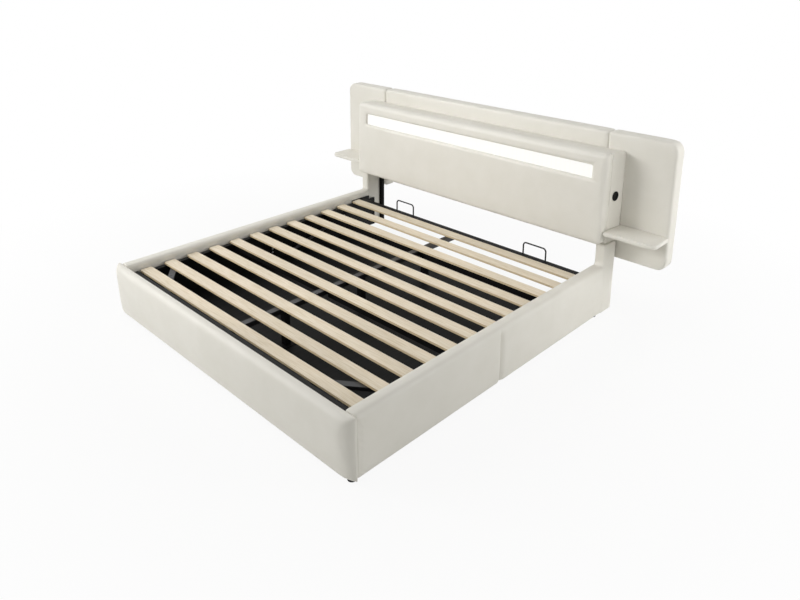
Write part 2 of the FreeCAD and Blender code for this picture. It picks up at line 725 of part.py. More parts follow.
def light_box():
    """Box behind the pad: leaning front, flared sides, falling top, channels for the uprights."""
    body = new_body("light_box_case")
    low = S.box_bottom
    front = PAD_FRONT + S.pad_thick + S.soft_gap
    back = FOOT_FACE + BOX_REAR
    lean = S.pad_lean * (S.box_high / S.pad_high)
    high = low + S.box_high
    half = S.box_front_half + S.box_flare
    profile = [(front, low), (back, low), (back, high - S.box_fall), (front + lean, high)]
    solid = prism(body, "YZ", (-half, half), (profile, [None] * len(profile)))
    for side in SIDES.values():
        wedge = [
            (S.box_front_half * side, front), (half * side, back), (half * side + S.overrun * side, back),
            (half * side + S.overrun * side, front - S.overrun),
            (S.box_front_half * side, front - S.overrun),
        ]
        solid = pocket(body, "XY", (low - S.overrun, high + S.overrun), (wedge, [None] * len(wedge)))
    top = (high - S.box_fall).value - MATCH
    forward = back.value - MATCH
    bevel_edges(body, solid, S.box_edge, lambda box: box.ZMax > top and box.YMin < forward)
    for side in SIDES.values():
        inner = S.upright_half - S.upright_gap
        outer = S.upright_half + S.upright_wide + S.upright_gap
        across = mirrored(side, inner, outer)
        along = (back - S.upright_thick - S.upright_gap, back + S.overrun)
        shape = rounded(across, along, None, None, None, None)
        pocket(body, "XY", (low - S.overrun, S.upright_top + S.upright_gap), shape)
    doc.recompute()
    hole = port_body("port_bore_tool")
    sketch = new_sketch(hole, "YZ", -S.port_deep)
    ring(sketch, ZERO, ZERO, S.port_bore_radius)
    pad(hole, sketch, S.port_deep + S.overrun)
    return name_node(cut("light_box_solid", body, hole), "light_box")


def port_body(name):
    """A body whose own X axis stands square on the flared right side at the charging port."""
    body = new_body(name)
    depth = BOX_REAR + FOOT_FACE - PAD_FRONT - S.pad_thick - S.soft_gap
    share = S.port_forward / depth
    turn(body, FreeCAD.Vector(0, 0, -1), S.box_flare / depth)
    place_x = S.box_front_half + S.box_flare - S.box_flare * share
    body.setExpression("Placement.Base.x", place_x.text)
    body.setExpression("Placement.Base.y", (FOOT_FACE + BOX_REAR - S.port_forward).text)
    body.setExpression("Placement.Base.z", (S.box_bottom + S.port_up).text)
    return body


def port_ring():
    """Rim of the charging port, lying on the side of the box."""
    body = port_body("port_ring")
    sketch = new_sketch(body, "YZ", ZERO)
    ring(sketch, ZERO, ZERO, S.port_ring_radius)
    ring(sketch, ZERO, ZERO, S.port_bore_radius)
    pad(body, sketch, S.port_ring_thick)
    return name_node(body, "port_ring")


def port_insert():
    """Barrel of the charging port with its sunk face."""
    body = port_body("port_insert")
    sketch = new_sketch(body, "YZ", S.port_gap - S.port_deep)
    ring(sketch, ZERO, ZERO, S.port_bore_radius - S.port_gap)
    top = S.port_barrel_out
    pad(body, sketch, S.port_deep - S.port_gap + top)
    bore(body, "YZ", (top - S.port_face_sink, top + S.overrun), ZERO, ZERO, S.port_face_radius)
    return name_node(body, "port_insert")


def back_panel(name, across, up, corners):
    """Upholstered panel of the back, rounded in front and bevelled behind."""
    body = new_body(name)
    front, rear = FOOT_FACE + BOX_REAR, FOOT_FACE + BED_REAR
    solid = prism(body, "XZ", (front, rear), rounded(across, up, *corners))
    solid = round_edges(body, solid, S.panel_edge, in_plane("Y", front))
    bevel_edges(body, solid, S.panel_rear_edge, in_plane("Y", rear))
    return name_node(body, name)


def back_panels():
    """Middle panel and the two wings that reach past the bed."""
    seam = S.panel_half_wide - S.soft_gap / 2
    small, large = S.panel_corner, S.wing_corner
    back_panel("center_panel", (-seam, seam), (S.panel_bottom, S.panel_top), [None, None, small, small])
    seam = S.panel_half_wide + S.soft_gap / 2
    for side_name, side in SIDES.items():
        across = mirrored(side, seam, S.wing_half_wide)
        corners = [None, large, large, small] if side > 0 else [large, None, small, large]
        back_panel(f"wing_{side_name}", across, (S.wing_bottom, S.panel_top), corners)


def shelf(side_name):
    """Upholstered shelf in the corner of box and wing, its inner edge along the flared box."""
    side = SIDES[side_name]
    body = new_body(f"shelf_{side_name}")
    rear = FOOT_FACE + BOX_REAR - S.soft_gap
    front = rear - S.shelf_deep
    bend = PAD_FRONT + S.pad_thick + S.soft_gap
    inner = S.pad_half_wide + S.soft_gap
    flared = S.box_front_half + S.box_flare + S.soft_gap
    end, corner = S.shelf_half_wide, S.shelf_corner
    points = [
        (inner, front), (end - corner, front), (end, front + corner), (end, rear), (flared, rear),
        (inner, bend),
    ]
    points = [(u * side, v) for u, v in points]
    radii = [None, corner, None, None, None, None]
    span = (S.shelf_top - S.shelf_thick, S.shelf_top)
    solid = prism(body, "XY", span, (points, radii))
    flat = in_plane("Z", *span)

    def free_edge(box):
        outside = max(-box.XMin, box.XMax) > end.value - MATCH and box.YMin < rear.value - MATCH
        return flat(box) and (box.YMin < front.value + MATCH or outside)

    bevel_edges(body, solid, S.shelf_edge, free_edge)
    return name_node(body, body.Label)


def uprights():
    """Flat steel uprights between posts and wings, running up behind the box."""
    back = FOOT_FACE + BOX_REAR
    low = S.foot_height + S.upright_lift
    bars = []
    for side_name, side in SIDES.items():
        across = mirrored(side, S.upright_half, S.upright_half + S.upright_wide)
        along = (back - S.upright_thick, back)
        bars.append(block(f"upright_{side_name}", across, along, (low, S.upright_top)))
    return group("uprights", bars)


# Storage box
def storage():
    """Floor boards on bearers, liner boards, and the low cross board at the head end."""
    length = S.floor_long
    seam = length / 2
    front, rear = FOOT_FACE, FOOT_FACE + length
    up = (S.bearer_high, FLOOR_TOP)
    wide = (-RAIL_IN, RAIL_IN)
    first = (front, front + seam - S.floor_slot / 2)
    second = (front + seam + S.floor_slot / 2, rear)
    name_node(block("floor_front", wide, first, up), "storage_floor_front")
    name_node(block("floor_rear", wide, second, up), "storage_floor_rear")
    bearers = []
    for index, middle in enumerate((-S.bearer_half, ZERO, S.bearer_half)):
        across = (middle - S.bearer_wide / 2, middle + S.bearer_wide / 2)
        along = (front + S.bearer_inset, rear - S.bearer_inset)
        bearers.append(block(f"bearer_{index}", across, along, (ZERO, S.bearer_high)))
    group("floor_bearers", bearers)
    across = (-LINER_IN, LINER_IN)
    up = (S.foot_height, FLOOR_TOP + S.cross_high)
    board = block("crossboard_block", across, (rear, rear + S.cross_thick), up)
    name_node(board, "crossboard")
    liners = []
    joint = FOOT_FACE + S.rail_front_long
    for side_name, side in SIDES.items():
        thick = mirrored(side, LINER_IN, RAIL_IN)
        for half_name, along in (
            ("front", (front, joint - S.liner_slot / 2)),
            ("rear", (joint + S.liner_slot / 2, FOOT_FACE + S.post_plate_start)),
        ):
            name = f"liner_{half_name}_{side_name}"
            liners.append(block(name, thick, along, (FLOOR_TOP, S.liner_top)))
    group("side_liners", liners)


def feet():
    """Small round feet under the footboard, the middle of the rails and their head ends."""
    under_rail = (RAIL_IN + RAIL_OUT) / 2
    places = [
        ("front", under_rail, FOOT_FACE - S.foot_thick + S.glide_front),
        ("middle", under_rail - S.glide_middle_in, FOOT_FACE + S.rail_front_long - S.glide_middle),
        ("rear", under_rail, FOOT_FACE + POST_FRONT - S.glide_rear),
    ]
    stubs = []
    for side_name, side in SIDES.items():
        for place_name, x, y in places:
            name = f"foot_{place_name}_{side_name}"
            place = (x * side, y, ZERO)
            stubs.append(many_sided(name, GLIDE_SIDES, S.glide_radius, S.foot_height, place))
    return group("feet", stubs)


def corner_brackets():
    """Steel angles that hold the footboard to the rails, and stepped plates at the head posts."""
    low = FLOOR_TOP
    start = FOOT_FACE + S.post_plate_start
    end, step = start + S.post_plate_long, start + S.post_plate_step
    up = (low, low + S.bracket_high)
    angles = []
    for side_name, side in SIDES.items():
        inner, outer = LINER_IN - S.bracket_leg, LINER_IN
        across = mirrored(side, inner, outer)
        along = (FOOT_FACE, FOOT_FACE + S.bracket_leg)
        whole = block(f"bracket_{side_name}", across, along, up)
        across = mirrored(side, inner - S.overrun, outer - S.plate_thick)
        along = (FOOT_FACE + S.plate_thick, FOOT_FACE + S.bracket_leg + S.overrun)
        tall = (low - S.overrun, low + S.bracket_high + S.overrun)
        inside = block(f"bracket_inside_{side_name}", across, along, tall)
        angles.append(cut(f"angle_{side_name}", whole, inside))
        across = mirrored(side, LINER_IN, RAIL_IN)
        whole = block(f"post_plate_whole_{side_name}", across, (start, end), (low, S.post_plate_top))
        across = mirrored(side, LINER_IN - S.overrun, RAIL_IN + S.overrun)
        tall = (S.post_plate_low, S.post_plate_top + S.overrun)
        notch = block(f"post_plate_notch_{side_name}", across, (step, end + S.overrun), tall)
        angles.append(cut(f"post_plate_{side_name}", whole, notch))
    return group("corner_brackets", angles)


def joint_plates():
    """Plates across the joint of the two rail halves, each held by four hexagonal bolt heads."""
    middle = FOOT_FACE + S.rail_front_long
    reach = S.joint_plate_long / 2
    rise = S.joint_plate_high / 2
    plates, bolts = [], []
    for side_name, side in SIDES.items():
        along = (middle - reach, middle + reach)
        up = (S.joint_plate_up - rise, S.joint_plate_up + rise)
        face = LINER_IN - S.plate_thick
        plates.append(block(f"joint_plate_{side_name}", mirrored(side, face, LINER_IN), along, up))
        start = mirrored(side, face - S.bolt_head_thick, face)[0]
        for number, (toward_y, toward_z) in enumerate(((-1, -1), (1, -1), (1, 1), (-1, 1))):
            y = middle + (reach - S.bolt_inset) * toward_y
            z = S.joint_plate_up + (rise - S.bolt_inset) * toward_z
            name = f"joint_bolt_{side_name}_{number}"
            head = (BOLT_SIDES, S.bolt_head_radius, S.bolt_head_thick)
            bolts.append(many_sided(name, *head, (start, y, z), ALONG_X))
    group("joint_plates", plates)
    group("joint_bolts", bolts)


def rest_ledgers():
    """Steel angles on the liners that the lifting frame's side tubes come down on."""
    top = SIDE_TUBE_UNDER - S.seat_gap
    along = (FOOT_FACE + S.ledger_start, FOOT_FACE + S.ledger_end)
    angles = []
    for side_name, side in SIDES.items():
        across = mirrored(side, LINER_IN - S.ledger_leg, LINER_IN)
        flat = block(f"ledger_flat_{side_name}", across, along, (top - S.ledger_thick, top))
        across = mirrored(side, LINER_IN - S.ledger_thick, LINER_IN)
        wall = block(f"ledger_wall_{side_name}", across, along, (top - S.ledger_leg, top))
        angles.append(join(f"ledger_{side_name}", [flat, wall]))
    return group("rest_ledgers", angles)


def middle_legs():
    """Legs that carry the middle tube when the bed is shut, each with a rubber pad."""
    legs, pads = [], []
    for number in range(LEGS):
        y = FOOT_FACE + S.leg_first + S.leg_pitch * number
        half, wide = S.leg_wide / 2, S.leg_foot_wide / 2
        base = FLOOR_TOP + S.plate_thick
        top = LEG_TOP - S.leg_pad_thick
        foot = block(f"leg_foot_{number}", (-wide, wide), (y - wide, y + wide), (FLOOR_TOP, base))
        tube = block(f"leg_tube_{number}", (-half, half), (y - half, y + half), (base, top))
        legs.append(join(f"leg_{number}", [foot, tube]))
        pads.append(block(f"leg_pad_{number}", (-half, half), (y - half, y + half), (top, LEG_TOP)))
    group("center_legs", legs)
    group("leg_pads", pads)


# Lifting frame
def slat(number):
    """One wooden slat with clipped corners and bevelled upper edges."""
    body = new_body(f"slat_{number:02d}")
    middle = FOOT_FACE + S.slat_first + S.slat_pitch * (number - 1)
    across = (-SLAT_HALF, SLAT_HALF)
    along = (middle - S.slat_wide / 2, middle + S.slat_wide / 2)
    solid = prism(body, "XY", (SLAT_UNDER, SLAT_TOP), clipped(across, along, S.slat_corner))
    bevel_edges(body, solid, S.slat_edge, in_plane("Z", SLAT_TOP))
    return name_node(body, body.Label)


def frame_tubes():
    """Welded tubes under and round the slats."""
    side_up = (SIDE_TUBE_UNDER, SLAT_UNDER)
    bar_up = (SLAT_TOP - S.bar_high, SLAT_TOP)
    along = (FOOT_BAR_REAR, HEAD_BAR_FRONT)
    sides = []
    for side_name, side in SIDES.items():
        across = mirrored(side, SIDE_TUBE_IN, SIDE_TUBE_OUT)
        sides.append(block(f"side_tube_{side_name}", across, along, side_up))
    group("side_tubes", sides)
    full = (-SIDE_TUBE_OUT, SIDE_TUBE_OUT)
    foot = block("foot_bar_block", full, (FOOT_BAR_REAR - S.foot_bar_deep, FOOT_BAR_REAR), bar_up)
    name_node(foot, "foot_bar")
    head = block("head_bar_block", full, (HEAD_BAR_FRONT, HEAD_BAR_FRONT + S.bar_deep), bar_up)
    name_node(head, "head_bar")
    half = S.middle_tube_wide / 2
    middle_up = (SLAT_UNDER - S.middle_tube_high, SLAT_UNDER)
    name_node(block("middle_tube_block", (-half, half), along, middle_up), "center_tube")
    cross_up = (SLAT_UNDER - S.cross_tube_high, SLAT_UNDER)
    pieces = []
    for number in CROSS_TUBE_SLATS:
        y = FOOT_FACE + S.slat_first + S.slat_pitch * (number - 1)
        depth = (y - S.tube_wide / 2, y + S.tube_wide / 2)
        for side_name, side in SIDES.items():
            across = mirrored(side, half, SIDE_TUBE_IN)
            pieces.append(block(f"cross_tube_{number}_{side_name}", across, depth, cross_up))
    group("cross_tubes", pieces)


def corner_braces():
    """Slanting bars across the frame's foot corners."""
    start, inner = FOOT_BAR_REAR, SIDE_TUBE_IN - S.brace_run
    near_end = S.brace_reach * ((S.brace_run - S.brace_wide) / S.brace_run)
    bars = []
    for side_name, side in SIDES.items():
        body = new_body(f"brace_{side_name}")
        points = [
            (inner, start), (inner + S.brace_wide, start),
            (SIDE_TUBE_IN, start + near_end), (SIDE_TUBE_IN, start + S.brace_reach),
        ]
        points = [(u * side, v) for u, v in points]
        prism(body, "XY", (SLAT_UNDER - S.brace_high, SLAT_UNDER), (points, [None] * len(points)))
        bars.append(body)
    return group("corner_braces", bars)


def elbow(name, bend, radius, place, rotation):
    """A quarter bend of wire."""
    section = doc.addObject("Part::RegularPolygon", f"{name}_section")
    section.Polygon = int(WIRE_SIDES)
    section.setExpression("Circumradius", radius.text)
    section.Placement.Rotation = STANDING
    section.setExpression("Placement.Base.x", bend.text)
    piece = doc.addObject("Part::Revolution", name)
    piece.Source = section
    piece.Axis = FreeCAD.Vector(0, 0, 1)
    piece.Angle = 90
    piece.Solid = True
    piece.Placement.Rotation = rotation
    for axis, size in zip("xyz", place):
        piece.setExpression(f"Placement.Base.{axis}", size.text)
    return piece


def hoop(name, middle):
    """Wire hoop on the head bar that keeps the mattress from sliding."""
    y = HEAD_BAR_FRONT + S.hoop_setback
    radius = S.hoop_wire_radius
    half = S.hoop_wide / 2 - radius
    bend = S.hoop_bend - radius
    top = SLAT_TOP + S.hoop_high - radius
    shoulder = top - bend
    left, right = middle - half, middle + half
    rise = shoulder - SLAT_TOP
    run = right - left - bend * 2
    return join(name, [
        many_sided(f"{name}_left_leg", WIRE_SIDES, radius, rise, (left, y, SLAT_TOP)),
        elbow(f"{name}_left_bend", bend, radius, (left + bend, y, shoulder), RING_LEFT),
        many_sided(f"{name}_top", WIRE_SIDES, radius, run, (left + bend, y, top), ALONG_X),
        elbow(f"{name}_right_bend", bend, radius, (right - bend, y, shoulder), STANDING),
        many_sided(f"{name}_right_leg", WIRE_SIDES, radius, rise, (right, y, SLAT_TOP)),
    ])


# Lift mechanism
def hinge_plates():
    """Plates on the rails that carry the lift pivots, with the lower rear corner cut off."""
    plates = []
    for side_name, side in SIDES.items():
        body = new_body(f"hinge_plate_{side_name}")
        y, z = PIVOT_Y, S.pivot_up
        front, rear = y - S.hinge_plate_front, y + S.hinge_plate_rear
        low, high = z - S.hinge_plate_down, z + S.hinge_plate_up
        snip = S.hinge_plate_cut
        points = [
            (front + snip, low), (rear - snip, low), (rear, low + snip), (rear, high), (front, high),
            (front, low + snip),
        ]
        ends = mirrored(side, LINER_IN - S.plate_thick, LINER_IN)
        prism(body, "YZ", ends, (points, [None] * len(points)))
        through = (ends[0] - S.overrun, ends[1] + S.overrun)
        bore(body, "YZ", through, y, z, S.pin_radius + S.pin_gap)
        plates.append(body)
    return group("hinge_plates", plates)


def hinge_pins():
    """Headed pins, each with its washer, on which the lifting frame turns."""
    pins = []
    plate_in = LINER_IN - S.plate_thick
    for side_name, side in SIDES.items():
        y, z = PIVOT_Y, S.pivot_up
        start = mirrored(side, SIDE_TUBE_OUT - S.pin_gap - S.pin_head_thick, SIDE_TUBE_OUT - S.pin_gap)[0]
        head = many_sided(
            f"pin_head_{side_name}", BOLT_SIDES, S.pin_head_radius, S.pin_head_thick, (start, y, z), ALONG_X
        )
        reach = mirrored(side, SIDE_TUBE_OUT - S.pin_gap, LINER_IN)
        shank = peg(f"pin_shank_{side_name}", S.pin_radius, reach, y, z)
        ends = mirrored(side, plate_in - S.washer_thick + S.pin_gap, plate_in)
        washer = peg(f"pin_washer_{side_name}", S.washer_radius, ends, y, z)
        pins.append(join(f"pin_{side_name}", [head, shank, washer]))
    return group("hinge_pins", pins)


def arm_plate(side_name):
    """Plate welded to a side tube, with the pivot's eye and the stud that the strut pushes."""
    side = SIDES[side_name]
    body = new_body(f"arm_plate_{side_name}")
    span = mirrored(side, SIDE_TUBE_OUT, ARM_OUT)
    y, z = PIVOT_Y, S.pivot_up
    stud_y, stud_z = y - S.arm_stud_at, z + S.arm_stud_up
    high = SLAT_UNDER - S.arm_top_inset
    eye, lug = S.arm_eye, S.arm_stud_edge
    points = [
        (y, z - eye), (y + eye, z), (y + S.arm_root_rear, SIDE_TUBE_UNDER), (y + S.arm_root_rear, high),
        (y - S.arm_root_front, high), (y - S.arm_root_front, SIDE_TUBE_UNDER),
        (stud_y - lug, stud_z), (stud_y, stud_z - lug),
    ]
    radii = [eye, None, None, None, None, None, lug, None]
    prism(body, "YZ", span, (points, radii))
    through = (span[0] - S.overrun, span[1] + S.overrun)
    bore(body, "YZ", through, y, z, S.pin_radius + S.pin_gap)
    inner_end = STRUT_MIDDLE - S.eye_thick / 2 - S.pin_gap
    sketch_level, length = stud_span(side, inner_end, SIDE_TUBE_OUT)
    sketch = new_sketch(body, "YZ", sketch_level)
    ring(sketch, stud_y, stud_z, S.stud_radius)
    pad(body, sketch, length)
    sketch_level, length = stud_span(side, inner_end - S.stud_head_thick, inner_end)
    sketch = new_sketch(body, "YZ", sketch_level)
    ring(sketch, stud_y, stud_z, S.stud_head_radius + S.eye_play)
    pad(body, sketch, length)
    return name_node(body, body.Label)


def stud_span(side, low, high):
    """Where a stud's pad starts along X, and its length."""
    ends = mirrored(side, low, high)
    return ends[0], ends[1] - ends[0]


def strut_anchors():
    """Plates low on the rails with the studs that the strut cylinders turn on."""
    anchors = []
    y, z = FOOT_FACE + ANCHOR_AT, S.anchor_up
    for side_name, side in SIDES.items():
        body = new_body(f"anchor_{side_name}")
        span = mirrored(side, LINER_IN - S.plate_thick, LINER_IN)
        along = (y - S.anchor_long / 2, y + S.anchor_long / 2)
        up = (z - S.anchor_high / 2, z + S.anchor_high / 2)
        prism(body, "YZ", span, clipped(along, up, S.anchor_corner))
        inner_end = STRUT_MIDDLE - S.eye_thick / 2 - S.pin_gap
        level, length = stud_span(side, inner_end, LINER_IN - S.plate_thick)
        sketch = new_sketch(body, "YZ", level)
        ring(sketch, y, z, S.stud_radius)
        pad(body, sketch, length)
        level, length = stud_span(side, inner_end - S.stud_head_thick, inner_end)
        sketch = new_sketch(body, "YZ", level)
        ring(sketch, y, z, S.stud_head_radius)
        pad(body, sketch, length)
        anchors.append(body)
    return group("strut_anchors", anchors)


def strut_body(name, side, at_stud):
    """A body whose own Y axis runs up the strut from the anchor stud, or from a place along it."""
    body = new_body(name)
    rise = S.pivot_up + S.arm_stud_up - S.anchor_up
    run = S.pivot_at - S.arm_stud_at - ANCHOR_AT
    turn(body, FreeCAD.Vector(1, 0, 0), rise / run)
    body.setExpression("Placement.Base.x", (STRUT_MIDDLE * side).text)
    stud_y = PIVOT_Y - S.arm_stud_at if at_stud else FOOT_FACE + ANCHOR_AT
    stud_z = S.pivot_up + S.arm_stud_up if at_stud else S.anchor_up
    body.setExpression("Placement.Base.y", stud_y.text)
    body.setExpression("Placement.Base.z", stud_z.text)
    return body


def strut_length():
    """Distance between the strut's two studs when the bed is shut."""
    rise = S.pivot_up + S.arm_stud_up - S.anchor_up
    run = S.pivot_at - S.arm_stud_at - ANCHOR_AT
    square = rise * rise + run * run
    return Size(f"sqrt({square.text})", math.sqrt(square.value))


def strut_cylinder(side_name):
    """Cylinder of a gas strut: eye on the anchor stud, bore for the rod, bevelled mouth."""
    side = SIDES[side_name]
    body = strut_body(f"strut_cylinder_{side_name}", side, False)
    hole = S.stud_radius + S.pin_gap
    half = S.eye_thick / 2
    sketch = new_sketch(body, "YZ", -half)
    ring(sketch, ZERO, ZERO, hole + S.eye_wall)
    pad(body, sketch, S.eye_thick)
    sketch = new_sketch(body, "XZ", ZERO)
    ring(sketch, ZERO, ZERO, S.neck_radius)
    pad(body, sketch, S.neck_long)
    sketch = new_sketch(body, "XZ", S.neck_long)
    ring(sketch, ZERO, ZERO, S.strut_radius)
    mouth = strut_length() - S.rod_out
    tube = pad(body, sketch, mouth - S.neck_long)
    bevel_edges(body, tube, S.strut_edge, in_plane("Y", mouth))
    bore(body, "XZ", (mouth - S.rod_in - S.overrun, mouth + S.overrun), ZERO, ZERO, S.strut_bore_radius)
    bore(body, "YZ", (-half - S.overrun, half + S.overrun), ZERO, ZERO, hole)
    return name_node(body, body.Label)


def strut_rod(side_name):
    """Rod of a gas strut, with the roomy eye round the arm's stud."""
    side = SIDES[side_name]
    body = strut_body(f"strut_rod_{side_name}", side, True)
    hole = S.stud_radius + S.eye_play
    half = S.eye_thick / 2
    sketch = new_sketch(body, "YZ", -half)
    ring(sketch, ZERO, ZERO, hole + S.eye_wall)
    pad(body, sketch, S.eye_thick)
    sketch = new_sketch(body, "XZ", -S.rod_out - S.rod_in)
    ring(sketch, ZERO, ZERO, S.rod_radius)
    pad(body, sketch, S.rod_out + S.rod_in)
    bore(body, "YZ", (-half - S.overrun, half + S.overrun), ZERO, ZERO, hole)
    return name_node(body, body.Label)


# Assembly
footboard()
for side_label in SIDES:
    joint = FOOT_FACE + S.rail_front_long
    rear_end = FOOT_FACE + POST_FRONT
    side_rail(side_label, "front", FOOT_FACE + S.soft_gap, joint - S.soft_gap / 2)
    side_rail(side_label, "rear", joint + S.soft_gap / 2, rear_end)
    post(side_label)
    shelf(side_label)
    arm_plate(side_label)
    strut_cylinder(side_label)
    strut_rod(side_label)
light_box()
front_pad()
led_channel()
led_diffuser()
port_ring()
port_insert()
back_panels()
uprights()
storage()
feet()
corner_brackets()
joint_plates()
rest_ledgers()
middle_legs()
for slat_number in range(1, SLATS + 1):
    slat(slat_number)
frame_tubes()
corner_braces()
group("mattress_hoops", [hoop("hoop_left", -S.hoop_left_at), hoop("hoop_right", S.hoop_right_at)])
hinge_plates()
hinge_pins()
strut_anchors()
doc.recompute()

# Checks and export
broken = [thing for thing in doc.Objects if {"Invalid", "Error"} & set(thing.State)]
faults = [f"{thing.Label}: {thing.State}" for thing in broken]
faults += [f"{node.Label}: shape" for node in nodes if node.Shape.isNull() or not node.Shape.isValid()]
faults += [f"{node.Label}: no solid" for node in nodes if not node.Shape.Solids]
if faults:
    raise RuntimeError("; ".join(faults))

os.makedirs("parts", exist_ok=True)
for node in nodes:
    node.Shape.exportStep(f"parts/{node.Label}.step")
    box = node.Shape.BoundBox
    print(f"{node.Label:28s} solids {len(node.Shape.Solids)}  volume {node.Shape.Volume:14.1f}")
    print(f"    x {box.XMin:8.1f} {box.XMax:8.1f}  y {box.YMin:8.1f} {box.YMax:8.1f}"
          f"  z {box.ZMin:7.1f} {box.ZMax:7.1f}")
print(len(nodes), "nodes; strut shut", round(strut_length().value, 3))
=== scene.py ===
"""Dresses the storage bed: leather over firm foam, birch slats, black steel and the light in its headboard.

Lengths are metres. +X is the bed's right side seen from its foot, +Y runs to the headboard and +Z is up.
"""

import json
import logging
import math
from dataclasses import dataclass, field
from enum import Enum
from typing import Any, Iterable

import bmesh
import bpy
import numpy as np
from bmesh.types import BMEdge, BMesh, BMVert
from bpy.types import ID, Material, Mesh, Node, Object, World
from bpy.types import NodeSocket as Socket
from bpy.types import NodeTree as Tree
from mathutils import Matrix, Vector


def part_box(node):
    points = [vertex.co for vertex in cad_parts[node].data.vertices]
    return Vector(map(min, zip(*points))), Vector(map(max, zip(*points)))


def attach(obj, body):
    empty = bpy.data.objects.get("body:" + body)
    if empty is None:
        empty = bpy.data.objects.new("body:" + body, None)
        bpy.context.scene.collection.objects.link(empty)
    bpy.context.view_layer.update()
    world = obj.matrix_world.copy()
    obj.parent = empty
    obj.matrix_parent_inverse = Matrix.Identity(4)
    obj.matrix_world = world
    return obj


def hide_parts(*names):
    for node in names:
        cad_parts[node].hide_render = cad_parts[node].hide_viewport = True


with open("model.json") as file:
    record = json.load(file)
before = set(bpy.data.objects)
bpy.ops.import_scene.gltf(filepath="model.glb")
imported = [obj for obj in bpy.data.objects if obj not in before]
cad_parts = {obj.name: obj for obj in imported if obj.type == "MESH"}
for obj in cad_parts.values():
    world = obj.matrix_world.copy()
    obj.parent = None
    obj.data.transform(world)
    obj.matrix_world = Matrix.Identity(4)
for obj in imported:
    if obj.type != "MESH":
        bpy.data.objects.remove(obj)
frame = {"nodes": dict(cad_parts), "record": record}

log = logging.getLogger("storage_bed")

MM = 0.001
FAR = 9.0  # beyond every piece, for regions that are open on a side
HANDS = {-1: "left", 1: "right"}  # by the side's sign on the X axis

Point = tuple[float, float, float]
Inputs = dict[Any, Any]


# Helpers for nodes, meshes and colours


def linear(colour: str) -> tuple[float, float, float, float]:
    """Turns an sRGB hex colour into the linear colour that a shader takes.

    Args:
        colour: The colour as "#RRGGBB".

    Returns:
        Linear red, green and blue with an alpha of one.
    """
    parts = [int(colour[i : i + 2], 16) / 255 for i in (1, 3, 5)]
    red, green, blue = (c / 12.92 if c <= 0.04045 else ((c + 0.055) / 1.055) ** 2.4 for c in parts)
    return red, green, blue, 1.0


def feed(node: Node, inputs: Inputs) -> None:
    """Sets a node's inputs to values, or links them to sockets."""
    for key, value in inputs.items():
        if isinstance(value, Socket):
            node.id_data.links.new(value, node.inputs[key])
        else:
            node.inputs[key].default_value = value


def add_node(tree: Tree, kind: str, inputs: Inputs | None = None, **settings: Any) -> Node:
    """Adds a node to a tree, sets it up and links it.

    Args:
        tree: The node tree that takes the node.
        kind: The node's Blender type.
        inputs: Values or output sockets by the name or number of the input they go to.
        **settings: Values for the node's own properties.

    Returns:
        The new node.
    """
    node = tree.nodes.new(kind)
    for name, value in settings.items():
        setattr(node, name, value)
    feed(node, inputs or {})
    return node


def bare_tree(owner: Material | World) -> Tree:
    """Gives the node tree of a material or world, emptied."""
    owner.use_nodes = True
    owner.node_tree.nodes.clear()
    return owner.node_tree


def place_object(name: str, data: ID) -> Object:
    """Makes an object of a mesh, lamp or camera and puts it into the scene."""
    made = bpy.data.objects.new(name, data)
    bpy.context.scene.collection.objects.link(made)
    return made


def mesh_of(made: BMesh, name: str) -> Mesh:
    """Turns a finished bmesh into a mesh of its own and frees it."""
    mesh = bpy.data.meshes.new(name)
    made.to_mesh(mesh)
    made.free()
    return mesh


def read_points(mesh: Mesh) -> np.ndarray:
    """Reads a mesh's vertices as an array of three columns."""
    flat = np.empty(len(mesh.vertices) * 3)
    mesh.vertices.foreach_get("co", flat)
    return flat.reshape(-1, 3)


def write_points(mesh: Mesh, points: np.ndarray) -> None:
    """Writes an array of three columns back to a mesh's vertices."""
    mesh.vertices.foreach_set("co", points.ravel())
    mesh.update()


def inside(points: np.ndarray, low: Point, high: Point) -> np.ndarray:
    """Tells for each point whether it lies between two corners."""
    return ((points > low) & (points < high)).all(1)


def relaxed(points: np.ndarray, edges: np.ndarray, rounds: int, share: np.ndarray) -> np.ndarray:
    """Eases each vertex towards the middle of its neighbours.

    Args:
        points: The vertices.
        edges: Pairs of vertex numbers.
        rounds: How many times the vertices are eased.
        share: How far each vertex may go towards that middle, from 0 to 1.

    Returns:
        The eased vertices.
    """
    ends = np.concatenate([edges, edges[:, ::-1]])
    number = np.bincount(ends[:, 0], minlength=len(points)).clip(1)[:, None]
    for _ in range(rounds):
        near = points[ends[:, 1]]
        total = np.stack([np.bincount(ends[:, 0], near[:, i], len(points)) for i in range(3)], 1)
        points = points + share[:, None] * (total / number - points)
    return points


def new_piece(name: str, mesh: Mesh, material: Material, smooth: bool = True) -> Object:
    """Puts a mesh into the scene as a piece of the bed.

    Args:
        name: The piece's name.
        mesh: Its mesh.
        material: The material for all of its faces.
        smooth: Whether its faces are shaded smooth.

    Returns:
        The new object.
    """
    mesh.materials.clear()
    mesh.materials.append(material)
    mesh.polygons.foreach_set("use_smooth", [smooth] * len(mesh.polygons))
    mesh.polygons.foreach_set("material_index", [0] * len(mesh.polygons))
    return place_object(name, mesh)


class Axis(Enum):
    """A direction of the bed's frame."""

    ACROSS = 0
    ALONG = 1
    UP = 2


ACROSS, ALONG, UP = Axis


# Patterns


def stretched(place: Socket, scale: Point) -> Socket:
    """Gives the place on the bed stretched, so that a pattern runs long in one direction."""
    inputs = {"Vector": place, "Scale": scale}
    return add_node(place.id_data, "ShaderNodeMapping", inputs, vector_type="POINT").outputs["Vector"]


